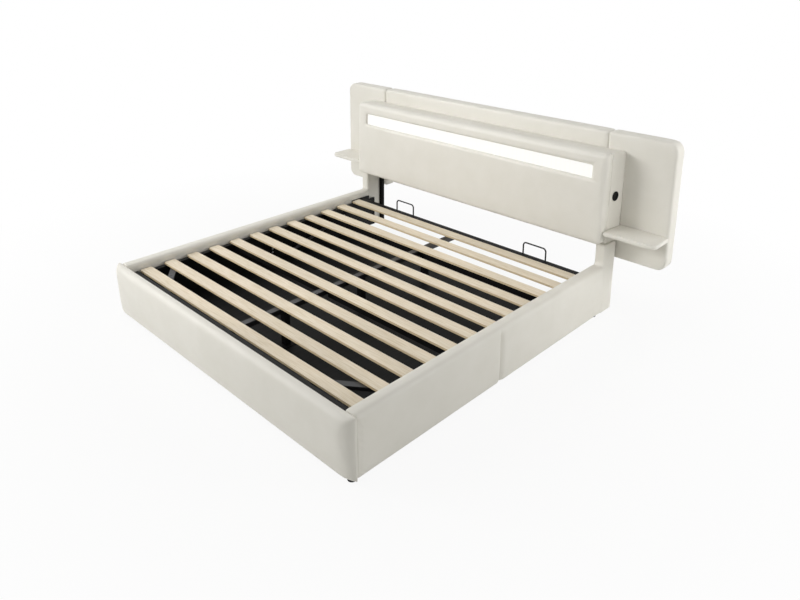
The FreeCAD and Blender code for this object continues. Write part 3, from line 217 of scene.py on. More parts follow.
def noise(place: Socket, size: float, detail: float = 3.0, bend: float = 0.0) -> Socket:
    """Adds cloudy noise from 0 to 1, with blotches of about the given size."""
    inputs = {"Vector": place, "Scale": 1 / size, "Detail": detail, "Distortion": bend}
    return add_node(place.id_data, "ShaderNodeTexNoise", inputs).outputs["Fac"]


def bands(
    place: Socket, pitch: float, axis: str, bend: float = 0.0, detail: float = 2.0, fine: float = 1.0
) -> Socket:
    """Adds soft bands from 0 to 1, which follow one another along an axis at the given pitch."""
    scale = 0.314 / pitch  # Blender's bands come 1 m apart at a scale of 0.314
    inputs = {"Vector": place, "Scale": scale, "Distortion": bend, "Detail": detail, "Detail Scale": fine}
    return add_node(place.id_data, "ShaderNodeTexWave", inputs, bands_direction=axis).outputs["Fac"]


def spread(value: Socket, low: float, high: float, ends: tuple[float, float] = (0.3, 0.7)) -> Socket:
    """Maps a pattern's values between the two ends to a range from low to high."""
    inputs = {"Value": value, "From Min": ends[0], "From Max": ends[1], "To Min": low, "To Max": high}
    return add_node(value.id_data, "ShaderNodeMapRange", inputs).outputs["Result"]


def tones(value: Socket, *stops: tuple[float, str]) -> Socket:
    """Colours a pattern by stops of a value and an sRGB hex colour."""
    ramp = add_node(value.id_data, "ShaderNodeValToRGB", {"Fac": value})
    elements = ramp.color_ramp.elements
    while len(elements) < len(stops):
        elements.new(0.5)
    for element, (at, colour) in zip(elements, stops):
        element.position = at
        element.color = linear(colour)
    return ramp.outputs["Color"]


def calculated(operation: str, first: Socket, second: Socket | float = 0.0) -> Socket:
    """Adds a calculation with one or two values."""
    inputs = {0: first, 1: second}
    return add_node(first.id_data, "ShaderNodeMath", inputs, operation=operation).outputs["Value"]


def relief(height: Socket, depth: float, strength: float) -> Socket:
    """Raises a pattern by a depth and gives the direction in which the surface then faces."""
    inputs = {"Height": height, "Distance": depth, "Strength": strength}
    return add_node(height.id_data, "ShaderNodeBump", inputs).outputs["Normal"]


# Finishes


@dataclass(frozen=True)
class Finish:
    """What a surface is made of; each kind below has its own look."""

    name: str

    def material(self) -> Material:
        """Makes the material once and gives it again each time it is asked for.

        Returns:
            The material with its nodes.
        """
        made = bpy.data.materials.get(self.name)
        if made:
            return made
        made = bpy.data.materials.new(self.name)
        tree = bare_tree(made)
        place = add_node(tree, "ShaderNodeTexCoord").outputs["Object"]
        shader = add_node(tree, "ShaderNodeBsdfPrincipled", self.look(place))
        add_node(tree, "ShaderNodeOutputMaterial", {"Surface": shader.outputs["BSDF"]})
        return made

    def look(self, place: Socket) -> Inputs:
        """Gives what goes into the shader's inputs.

        Args:
            place: The place on the bed.

        Returns:
            Values or output sockets by the name of the input.
        """
        raise NotImplementedError


@dataclass(frozen=True)
class CoatedLeather(Finish):
    """Coated leather with a fine embossed pebble: satin, slightly uneven in tone, with a soft broad gloss."""

    tone: str = "#E4E1D9"
    shade: str = "#E0DDD4"
    pebble: float = 3.2 * MM  # a real pebble is about 1 mm; drawn coarser so that it shows
    pebble_depth: float = 0.10 * MM
    cloud: float = 140 * MM
    gloss: tuple[float, float] = (0.44, 0.56)

    def look(self, place: Socket) -> Inputs:
        """Gives cloudy tone, uneven gloss and the embossed pebble."""
        inputs = {"Vector": place, "Scale": 1 / self.pebble, "Randomness": 0.9}
        cells = add_node(place.id_data, "ShaderNodeTexVoronoi", inputs).outputs["Distance"]
        creases = noise(place, self.pebble * 4, 6.0, 0.6)
        return {
            "Base Color": tones(noise(place, self.cloud, 4.0), (0.3, self.shade), (0.7, self.tone)),
            "Roughness": spread(noise(place, self.cloud / 5, 5.0), *self.gloss),
            "Normal": relief(calculated("ADD", cells, creases), self.pebble_depth, 0.6),
            "IOR": 1.5,
            "Specular IOR Level": 0.45,
        }


@dataclass(frozen=True)
class PlanedBirch(Finish):
    """Planed birch plywood: pale and silky on its faces, with long grain, and tan where the plies end."""

    pale: str = "#EEE3D1"
    warm: str = "#E5D8C1"
    streak: str = "#D5C5A8"
    edge: str = "#DCCBAC"
    ply: str = "#CBB48C"
    grain: float = 5 * MM
    ply_pitch: float = 3.5 * MM  # a real ply is about 1.5 mm; drawn coarser so that the layers show

    def look(self, place: Socket) -> Inputs:
        """Gives the grain that runs along each slat and the plies at its edges."""
        tree = place.id_data
        grain = noise(stretched(place, (0.045, 1, 1)), self.grain, 6.0, 0.4)
        face = tones(grain, (0.28, self.streak), (0.46, self.warm), (0.66, self.pale))
        board = noise(stretched(place, (0.2, 1, 0.05)), 170 * MM, 1.0)
        light = spread(board, 0.93, 1.05, (0.35, 0.65))
        face = add_node(tree, "ShaderNodeHueSaturation", {"Color": face, "Value": light}).outputs["Color"]
        side = tones(bands(place, self.ply_pitch, "Z", 0.4), (0.35, self.ply), (0.65, self.edge))
        normal = add_node(tree, "ShaderNodeTexCoord").outputs["Normal"]
        upward = add_node(tree, "ShaderNodeSeparateXYZ", {"Vector": normal}).outputs["Z"]
        flat = spread(calculated("ABSOLUTE", upward), 0.0, 1.0, (0.25, 0.8))
        mixed = add_node(tree, "ShaderNodeMix", {"Factor": flat, 6: side, 7: face}, data_type="RGBA")
        return {
            "Base Color": mixed.outputs[2],
            "Roughness": spread(grain, 0.5, 0.66),
            "Normal": relief(grain, 0.15 * MM, 0.5),
            "IOR": 1.5,
            "Specular IOR Level": 0.15,
        }


@dataclass(frozen=True)
class SawnPine(Finish):
    """Rough-sawn pine: wide pale grain with darker late-wood lines and the fur that the saw leaves."""

    early: str = "#D9BE8E"
    late: str = "#B58E58"
    ring: float = 9 * MM

    def look(self, place: Socket) -> Inputs:
        """Gives wavy growth rings that run along the bearer."""
        long = stretched(place, (0.06, 1, 1))
        rings = bands(long, self.ring, "Y", 5.0, 3.0, 0.8)
        fur = noise(long, 2 * MM, 5.0)
        return {
            "Base Color": tones(rings, (0.2, self.late), (0.75, self.early)),
            "Roughness": spread(fur, 0.65, 0.85),
            "Normal": relief(fur, 0.3 * MM, 0.6),
        }


@dataclass(frozen=True)
class PowderCoat(Finish):
    """Powder coat baked on steel: satin or matt, with the low ripple that the melted powder leaves."""

    colour: str = "#0C0C0D"
    dust: str = "#131314"
    ripple: float = 3 * MM  # a real ripple is about 1 mm; drawn coarser so that it shows
    gloss: tuple[float, float] = (0.45, 0.58)
    mirror: float = 0.16  # matting agents keep the coat's reflection weak

    def look(self, place: Socket) -> Inputs:
        """Gives a dusty tone, an uneven gloss and the ripple."""
        dust = noise(place, 60 * MM, 5.0)
        return {
            "Base Color": tones(dust, (0.35, self.colour), (0.75, self.dust)),
            "Roughness": spread(dust, *self.gloss),
            "Normal": relief(noise(place, self.ripple, 2.0), 0.06 * MM, 0.5),
            "IOR": 1.5,
            "Specular IOR Level": self.mirror,
        }


@dataclass(frozen=True)
class ZincPlate(Finish):
    """Bright zinc plating: grey metal with cloudy crystals and a soft shine."""

    bright: str = "#C9CACB"
    dull: str = "#A9ABAE"
    crystal: float = 6 * MM

    def look(self, place: Socket) -> Inputs:
        """Gives the crystals and their uneven shine."""
        inputs = {"Vector": place, "Scale": 1 / self.crystal}
        cells = add_node(place.id_data, "ShaderNodeTexVoronoi", inputs).outputs["Color"]
        value = noise(cells, 0.4, 1.0)
        return {
            "Base Color": tones(value, (0.3, self.dull), (0.7, self.bright)),
            "Roughness": spread(value, 0.3, 0.48),
            "Metallic": 1.0,
        }


@dataclass(frozen=True)
class Chrome(Finish):
    """Ground and chromed rod: mirror-like, with the faintest rings of its grinding."""

    bright: str = "#D5D7DA"
    dull: str = "#C6C9CD"

    def look(self, place: Socket) -> Inputs:
        """Gives the grinding rings in tone and gloss."""
        rings = noise(stretched(place, (0.2, 1, 0.2)), 1.5 * MM, 2.0)
        return {
            "Base Color": tones(rings, (0.2, self.dull), (0.8, self.bright)),
            "Roughness": spread(rings, 0.08, 0.17),
            "Metallic": 1.0,
        }


@dataclass(frozen=True)
class FoilBoard(Finish):
    """Particle board in black foil: an even dark face with a printed, lightly embossed wood grain."""

    colour: str = "#0B0C0C"
    grain_tone: str = "#121314"
    grain: float = 7 * MM
    mirror: float = 0.2

    def look(self, place: Socket) -> Inputs:
        """Gives the embossed grain that runs along the bed."""
        grain = noise(stretched(place, (1, 0.06, 1)), self.grain, 4.0)
        return {
            "Base Color": tones(grain, (0.35, self.colour), (0.7, self.grain_tone)),
            "Roughness": spread(grain, 0.42, 0.56),
            "Normal": relief(grain, 0.08 * MM, 0.5),
            "Specular IOR Level": self.mirror,
        }


@dataclass(frozen=True)
class MouldedPlastic(Finish):
    """Injection-moulded ABS with a spark-eroded texture: matt, even, with a faint grain."""

    colour: str = "#101011"
    worn: str = "#18181A"
    spark: float = 1.4 * MM  # real spark texture is about 0.1 mm; drawn coarser so that it shows
    gloss: tuple[float, float] = (0.45, 0.6)
    mirror: float = 0.3

    def look(self, place: Socket) -> Inputs:
        """Gives the spark texture and a slightly uneven tone."""
        grain = noise(place, self.spark, 2.0)
        return {
            "Base Color": tones(noise(place, 25 * MM), (0.35, self.colour), (0.75, self.worn)),
            "Roughness": spread(grain, *self.gloss),
            "Normal": relief(grain, 0.05 * MM, 0.6),
            "IOR": 1.53,
            "Specular IOR Level": self.mirror,
        }


@dataclass(frozen=True)
class OpalDiffuser(Finish):
    """Opal acrylic lit from behind by a row of diodes: an even white glow, slightly stronger over each."""

    body: str = "#7C7C7A"
    between: str = "#FCFBF8"
    over: str = "#FFFEFB"
    pitch: float = 33 * MM
    glow: float = 0.81

    def look(self, place: Socket) -> Inputs:
        """Gives the glow, stronger over the diodes, and the skin's gloss."""
        return {
            "Base Color": linear(self.body),
            "Emission Color": tones(bands(place, self.pitch, "X"), (0.0, self.between), (1.0, self.over)),
            "Emission Strength": self.glow,
            "Roughness": spread(noise(place, 3 * MM, 2.0), 0.35, 0.45),
        }


LEATHER = CoatedLeather("coated_leather_ivory")
THREAD = MouldedPlastic("polyester_thread_ivory", "#D6D2C6", "#CBC6B8", 1.0 * MM, (0.5, 0.65), 0.4)
GLOSSY_STEEL = PowderCoat("steel_gloss_coated_black", "#141416", "#1D1D20", 3 * MM, (0.26, 0.36), 0.5)
# The finish of each hard slot in the record
FINISHES: dict[str, Finish] = {
    "slat_wood": PlanedBirch("birch_plywood_planed"),
    "black_steel": PowderCoat("steel_powder_coated_black"),
    "plated_steel": ZincPlate("steel_zinc_plated"),
    "chromed_rod": Chrome("steel_ground_chromed"),
    "black_board": FoilBoard("particle_board_black_foil"),
    "raw_wood": SawnPine("pine_sawn"),
    "black_plastic": MouldedPlastic("abs_moulded_black"),
    "rubber": MouldedPlastic("rubber_moulded_black", "#0E0E0E", "#161616", 2.5 * MM, (0.7, 0.85)),
    "port_plastic": MouldedPlastic("abs_moulded_port", "#0C0C0D", "#141416", 1.4 * MM, (0.32, 0.45), 0.12),
    "light_channel": PowderCoat("aluminium_coated_white", "#E9E8E4", "#E2E1DC", 3 * MM, (0.4, 0.5), 0.5),
    "light_diffuser": OpalDiffuser("acrylic_opal_lit"),
}


# Leather covers

TINY = 1e-7  # lengths below it count as none
WELD = 0.02 * MM  # vertices of the solid's faces that are nearer than this become one
EASE = 0.5  # how far a vertex goes towards the middle of its neighbours in one round
LIMP_ROUNDS = 10
CRISP = 0.75  # cells within this share of one from a crisp place are cut square
SEWN = 0.3  # how free the cover is to swell on a seam
PRESSURE = 4.0  # of the foam, in the unit of the cloth simulation
CLOTH_QUALITY = 3  # the simulation's steps in each frame
FRAMES = 20  # after which the covers are at rest
ROLL_CUTS = (0.02, 0.08, 0.18, 0.32, 0.5, 0.72)  # where a rolled end is cut, as shares of its reach
TOP_KEPT = 10 * MM  # how far below the top a roll starts to sink in
TOP_FADE = 40 * MM  # how much lower it is at its full depth
CORNER_POWER = 2.5  # the curve's power, by the share of its reach
SEAM_PROFILE = {0.0: 1.0, -1.1 * MM: 0.55, 1.1 * MM: 0.55, -2.6 * MM: 0.12, 2.6 * MM: 0.12}
STITCH_LIFT = 0.1 * MM
SQUARE = ((1, 0), (0, 1), (-1, 0), (0, -1))  # the corners of a thread's section


@dataclass(frozen=True)
class Plane:
    """The plane where an axis has one value.

    Attributes:
        axis: The axis that the plane stands across.
        at: Where it is on that axis.
        low: The lower corner of the region that it counts in.
        high: The upper corner of that region.
    """

    axis: Axis
    at: float
    low: Point = field(default=(-FAR, -FAR, -FAR), kw_only=True)
    high: Point = field(default=(FAR, FAR, FAR), kw_only=True)

    def above(self, points: np.ndarray) -> np.ndarray:
        """Gives how far past the plane each point is on its axis."""
        return points[:, self.axis.value] - self.at

    def hold(self, free: np.ndarray, points: np.ndarray, share: np.ndarray) -> np.ndarray:
        """Gives how free each point is to swell, which is no more than a share in the plane's region."""
        return np.where(inside(points, self.low, self.high), np.minimum(free, share), free)


@dataclass(frozen=True)
class Contact(Plane):
    """A flat place that a cover stops at.

    Attributes:
        outward: +1 or -1, the side that the cover doesn't pass to.
        held: Whether the cover is fixed there and doesn't swell.
        crisp: Whether the foam is cut square there, so that its edge isn't rounded.
        roll: How far from the place the cover's outer side starts to roll over towards it.
        sink: How deep the outer side lies at the place when it rolls over.
    """

    outward: int
    held: bool = True
    crisp: bool = False
    roll: float = 0.0
    sink: float = 0.0


@dataclass(frozen=True)
class Seam(Plane):
    """A sewn line round a cover.

    Attributes:
        rows: How far from the seam each row of stitches runs.
        depth: How deep the seam is drawn in.
    """

    rows: tuple[float, ...] = ()
    depth: float = 2.4 * MM


@dataclass
class Stitching:
    """Rows of short thread loops along a seam.

    Attributes:
        thread: The thread's radius.
        length: How long each stitch is.
        pitch: The distance from stitch to stitch.
        taper: The thread's thickness by the share of a stitch's length.
        ends: The two ends of each stitch and its outward direction.
    """

    thread: float = 0.45 * MM
    length: float = 5.0 * MM
    pitch: float = 7.0 * MM
    taper: tuple[tuple[float, float], ...] = ((0.0, 0.45), (0.25, 1.0), (0.75, 1.0), (1.0, 0.45))
    ends: list[tuple[Vector, Vector, Vector]] = field(default_factory=list)

    def follow(self, here: Vector, there: Vector, outward: Vector) -> None:
        """Sets stitches along a straight part of a seam, where the surface faces outward."""
        run = there - here
        at = self.pitch / 2
        while at < run.length:
            step = run / run.length
            middle = here + step * at
            half = step * self.length / 2
            self.ends.append((middle - half, middle + half, outward))
            at += self.pitch

    def mesh(self, name: str) -> Mesh:
        """Builds one mesh of all the stitches, each a short thread that is thickest in its middle.

        Args:
            name: The mesh's name.

        Returns:
            The mesh.
        """
        made = bmesh.new()
        for first, last, outward in self.ends:
            along = (last - first).normalized()
            side = along.cross(outward)
            side = (side if side.length > 10 * TINY else along.orthogonal()).normalized()
            up = side.cross(along)
            rings = []
            for share, width in self.taper:
                centre = first.lerp(last, share)
                radius = self.thread * width
                rings.append([made.verts.new(centre + (side * x + up * y) * radius) for x, y in SQUARE])
            for ring, following in zip(rings, rings[1:]):
                for i in range(4):
                    made.faces.new((ring[i], ring[(i + 1) % 4], following[(i + 1) % 4], following[i]))
            made.faces.new(rings[0][::-1])
            made.faces.new(rings[-1])
        return mesh_of(made, name)


def sliced(mesh: BMesh, parts: Iterable[Any], place: Vector, facing: Vector, **more: Any) -> list[Any]:
    """Cuts parts of a mesh along a plane and gives the vertices and edges that lie in it."""
    return bmesh.ops.bisect_plane(mesh, geom=list(parts), plane_co=place, plane_no=facing, **more)["geom_cut"]


def sewn_lines(edges: list[BMEdge]) -> list[list[BMVert]]:
    """Joins loose edges end to end.

    Args:
        edges: The edges of one or more lines, in any order.

    Returns:
        The vertices of each line, in order.
    """
    near: dict[BMVert, list[BMVert]] = {}
    for edge in edges:
        a, b = edge.verts
        near.setdefault(a, []).append(b)
        near.setdefault(b, []).append(a)
    lines = []
    while near:
        start = next((v for v, others in near.items() if len(others) == 1), next(iter(near)))
        line = [start]
        while near.get(line[-1]):
            here = line[-1]
            there = near[here].pop()
            near[there].remove(here)
            line.append(there)
        near = {v: others for v, others in near.items() if others}
        if len(line) > 1:
            lines.append(line)
    return lines


@dataclass
class Cover:
    """One foam piece in its leather cover, made from the solid of its CAD node.

    Attributes:
        node: The CAD node that it stands for.
        joined: A further node that one leather covers together with it.
        tucked: How far the first node's end reaches into the joined one.
        contacts: The flat places it stops at.
        seams: Its sewn lines.
        lean: How far it leans back for each metre up; it is made upright and then leans.
        foot: The height where the lean is zero.
        voxel: The size of the cover's mesh cells.
        slack: How much smaller the foam starts on every free side.
        swell: The most that the cloth moves outward from there.
        fill: How tight the piece is stuffed. It is not used.
        firm: Regions that keep the solid's form, each a lower and an upper corner.
        eased: How often the cells are eased, which rounds the edges.
        limp: Regions that are eased much more, each a lower and an upper corner.
        corner: How far in from each end the front starts to curve back, and how deep it lies at the end.
    """

    node: str
    contacts: tuple[Contact, ...]
    seams: tuple[Seam, ...] = ()
    joined: str = ""
    tucked: float = 22 * MM
    lean: float = 0.0
    foot: float = 0.0
    voxel: float = 8 * MM
    slack: float = 1.0 * MM
    swell: float = 1.8 * MM
    fill: float = 0.85
    firm: tuple[tuple[Point, Point], ...] = ()
    eased: int = 3
    limp: tuple[tuple[Point, Point], ...] = ()
    corner: tuple[float, float] | None = None

    piece: Object | None = None
    rest: np.ndarray | None = None
    free: np.ndarray | None = None

    def cut(self) -> None:
        """Makes the cover's even mesh from the solid, upright and a little small."""
        shell = bmesh.new()
        shell.from_mesh(frame["nodes"][self.node].data)
        self.lengthen(shell)
        if self.joined:
            self.take_in(shell)
        bmesh.ops.remove_doubles(shell, verts=shell.verts, dist=WELD)
        self.tilt(shell.verts, -1)
        rough = place_object(f"{self.node}_shell", mesh_of(shell, f"{self.node}_shell"))
        cells = rough.modifiers.new("cells", "REMESH")
        cells.mode = "VOXEL"
        cells.voxel_size = self.voxel
        graph = bpy.context.evaluated_depsgraph_get()
        even = bpy.data.meshes.new_from_object(rough.evaluated_get(graph))
        bpy.data.objects.remove(rough)
        even.name = f"cover_{self.node}"
        self.piece = new_piece(f"cover_{self.node}", even, LEATHER.material())
        self.make_room(even)

    def tilt(self, verts: Iterable[Any], way: int) -> None:
        """Leans vertices back (1), or stands them up again (-1)."""
        for vert in verts:
            vert.co.y += way * self.lean * (vert.co.z - self.foot)

    def take_in(self, shell: BMesh) -> None:
        """Adds the joined node and lets this node's rear end reach into it, so that one leather covers both."""
        low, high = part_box(self.joined)
        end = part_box(self.node)[1].y
        for vert in shell.verts:
            if vert.co.y > end - self.tucked and low.x - MM < vert.co.x < high.x + MM:
                vert.co.y += self.tucked
        shell.from_mesh(frame["nodes"][self.joined].data)

    def lengthen(self, shell: BMesh) -> None:
        """Lets each end that is rolled over reach too far, so that it can be cut off square."""
        for contact in self.contacts:
            row = contact.axis.value
            for vert in shell.verts:
                if contact.roll and abs(vert.co[row] - contact.at) < 0.5 * self.tucked:
                    vert.co[row] += self.tucked * contact.outward

    def make_room(self, mesh: Mesh) -> None:
        """Eases the mesh's cells, marks what is held and takes the slack off the free sides."""
        points = read_points(mesh)
        edges = np.empty(len(mesh.edges) * 2, int)
        mesh.edges.foreach_get("vertices", edges)
        edges = edges.reshape(-1, 2)
        loose = np.ones(len(points))
        for low, high in self.firm:
            loose[inside(points, low, high)] = 0.0
        points = relaxed(points, edges, self.eased, EASE * loose)
        for low, high in self.limp:
            points = relaxed(points, edges, LIMP_ROUNDS, EASE * inside(points, low, high))
        for contact in self.contacts:
            if contact.crisp:
                near = np.abs(contact.above(points)) < CRISP * self.voxel
                points[near, contact.axis.value] = contact.at
        free = loose.copy()
        reach = 2 * self.voxel
        for contact in self.contacts:
            if contact.held:
                gap = -contact.above(points) * contact.outward
                free = contact.hold(free, points, np.clip(gap / reach, 0, 1))
        for seam in self.seams:
            gap = np.abs(seam.above(points))
            free = seam.hold(free, points, np.clip(gap / reach, SEWN, 1))
        write_points(mesh, points)
        normals = np.empty(len(points) * 3)
        mesh.vertices.foreach_get("normal", normals)
        points = points - normals.reshape(-1, 3) * (self.slack * free)[:, None]
        write_points(mesh, points)
        self.rest = points
        self.free = free

    def fill_foam(self) -> None:
        """Puts the cover under the pressure of its foam."""
        held = self.piece.vertex_groups.new(name="held")
        for level in np.unique(np.round(1 - self.free, 1)):
            numbers = np.nonzero(np.round(1 - self.free, 1) == level)[0]
            held.add([int(n) for n in numbers], float(level), "REPLACE")
        cloth = self.piece.modifiers.new("foam", "CLOTH")
        cloth.settings.quality = CLOTH_QUALITY
        cloth.settings.use_pressure = True
        cloth.settings.uniform_pressure_force = PRESSURE
        cloth.settings.vertex_group_mass = "held"
        cloth.settings.effector_weights.gravity = 0.0
        cloth.collision_settings.use_collision = False

    def settle(self) -> None:
        """Takes the cloth's shape, caps how far it moved and keeps it clear of its neighbours."""
        points = self.rest
        graph = bpy.context.evaluated_depsgraph_get()
        shape = read_points(self.piece.evaluated_get(graph).data)
        self.piece.modifiers.clear()
        self.piece.vertex_groups.clear()
        moved = shape - self.rest
        length = np.linalg.norm(moved, axis=1, keepdims=True)
        moved *= np.minimum(1, self.swell / np.maximum(length, TINY))
        points = self.rest + moved * (self.free > 0)[:, None]
        for contact in self.contacts:
            if contact.roll:
                continue
            over = contact.above(points) * contact.outward > 0
            over &= inside(points, contact.low, contact.high)
            points[over, contact.axis.value] = contact.at
        write_points(self.piece.data, points)

    def sew(self) -> None:
        """Draws the seams into the cover and sets their stitches."""
        stitching = Stitching()
        cover = bmesh.new()
        cover.from_mesh(self.piece.data)
        for contact in self.contacts:
            if contact.roll:
                self.roll_over(cover, contact)
        if self.corner:
            self.curve_back(cover)
        for seam in self.seams:
            self.draw_in(cover, seam, stitching)
        self.tilt(cover.verts, 1)
        mesh = self.piece.data
        cover.to_mesh(mesh)
        cover.free()
        mesh.polygons.foreach_set("use_smooth", [True] * len(mesh.polygons))
        mesh.update()
        if stitching.ends:
            name = f"stitches_{self.node}"
            stitches = new_piece(name, stitching.mesh(name), THREAD.material())
            self.tilt(stitches.data.vertices, 1)
            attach(stitches, "base")

    def roll_over(self, cover: BMesh, contact: Contact) -> None:
        """Cuts the cover off square at a contact, closes it there and rolls its outer side over towards it.

        The top and the inner side stay as they are.

        Args:
            cover: The cover's mesh.
            contact: The place with the roll's reach and depth.
        """
        row = contact.axis.value
        outward = Vector((0, 0, 0))
        outward[row] = contact.outward

        def slice_at(inset: float, off: bool = False) -> list[BMEdge]:
            """Cuts a ring at a distance from the contact and gives it."""
            where = outward * (contact.at * contact.outward - inset)
            parts = (*cover.verts, *cover.edges, *cover.faces)
            made = sliced(cover, parts, where, outward, dist=10 * TINY, clear_outer=off)
            return [g for g in made if isinstance(g, BMEdge)]

        rim = slice_at(0.0, True)
        bmesh.ops.holes_fill(cover, edges=rim, sides=0)
        for share in ROLL_CUTS:
            slice_at(share * contact.roll)
        low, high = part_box(self.node)
        inner, outer = sorted((low.x, high.x), key=abs)
        for vert in cover.verts:
            near = max(0.0, 1 - abs(vert.co[row] - contact.at) / contact.roll)
            below = min(1.0, max(0.0, (high.z - TOP_KEPT - vert.co.z) / TOP_FADE))
            drop = contact.sink * near**2 * below
            vert.co.x += (inner - vert.co.x) * drop / abs(outer - inner)

    def curve_back(self, cover: BMesh) -> None:
        """Curves the front back towards both ends, as leather that is drawn round a corner does."""
        low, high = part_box(self.node)
        reach, depth = self.corner
        for vert in cover.verts:
            near = max(0.0, 1 - min(vert.co.x - low.x, high.x - vert.co.x) / reach)
            vert.co.y += depth * near**CORNER_POWER * (high.y - vert.co.y) / (high.y - low.y)

    def draw_in(self, cover: BMesh, seam: Seam, stitching: Stitching) -> None:
        """Cuts clean lines along a seam, pulls them in and follows them with stitches.

        Args:
            cover: The cover's mesh.
            seam: The seam to draw.
            stitching: Takes the stitches of the seam's rows.
        """
        row = seam.axis.value
        clear = 0.7 * self.voxel
        reach = 2 * self.voxel
        low, high = Vector(seam.low), Vector(seam.high)

        def sewn(point: Vector) -> bool:
            """Tells whether a point is in the region that is sewn."""
            return all(low[i] < point[i] < high[i] for i in range(3))

        for vert in cover.verts:
            gap = vert.co[row] - seam.at
            if abs(gap) < clear and sewn(vert.co):
                vert.co[row] = seam.at + math.copysign(clear, gap)
        direction = Vector((0, 0, 0))
        direction[row] = 1.0
        profile = dict(SEAM_PROFILE)
        profile.update({gap: profile.get(gap, 0.0) for gap in seam.rows})
        drawn: dict[float, list[BMVert]] = {}
        lines: dict[float, list[BMEdge]] = {}
        for gap in profile:
            middles = {face: face.calc_center_median() for face in cover.faces}
            near = [f for f, middle in middles.items() if sewn(middle) and abs(middle[row] - seam.at) < reach]
            parts = set(near) | {e for f in near for e in f.edges} | {v for f in near for v in f.verts}
            made = sliced(cover, parts, direction * (seam.at + gap), direction, dist=TINY)
            drawn[gap] = [g for g in made if isinstance(g, BMVert)]
            lines[gap] = [g for g in made if isinstance(g, BMEdge)]
        cover.normal_update()
        for gap in seam.rows:
            for line in sewn_lines(lines[gap]):
                for here, there in zip(line, line[1:]):
                    lift = (here.normal + there.normal).normalized()
                    stitching.follow(here.co + lift * STITCH_LIFT, there.co + lift * STITCH_LIFT, lift)
        for gap, verts in drawn.items():
            for vert in verts:
                vert.co -= vert.normal * seam.depth * profile[gap]

    def finish(self) -> None:
        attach(self.piece, "base")
        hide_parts(*filter(None, (self.node, self.joined)))


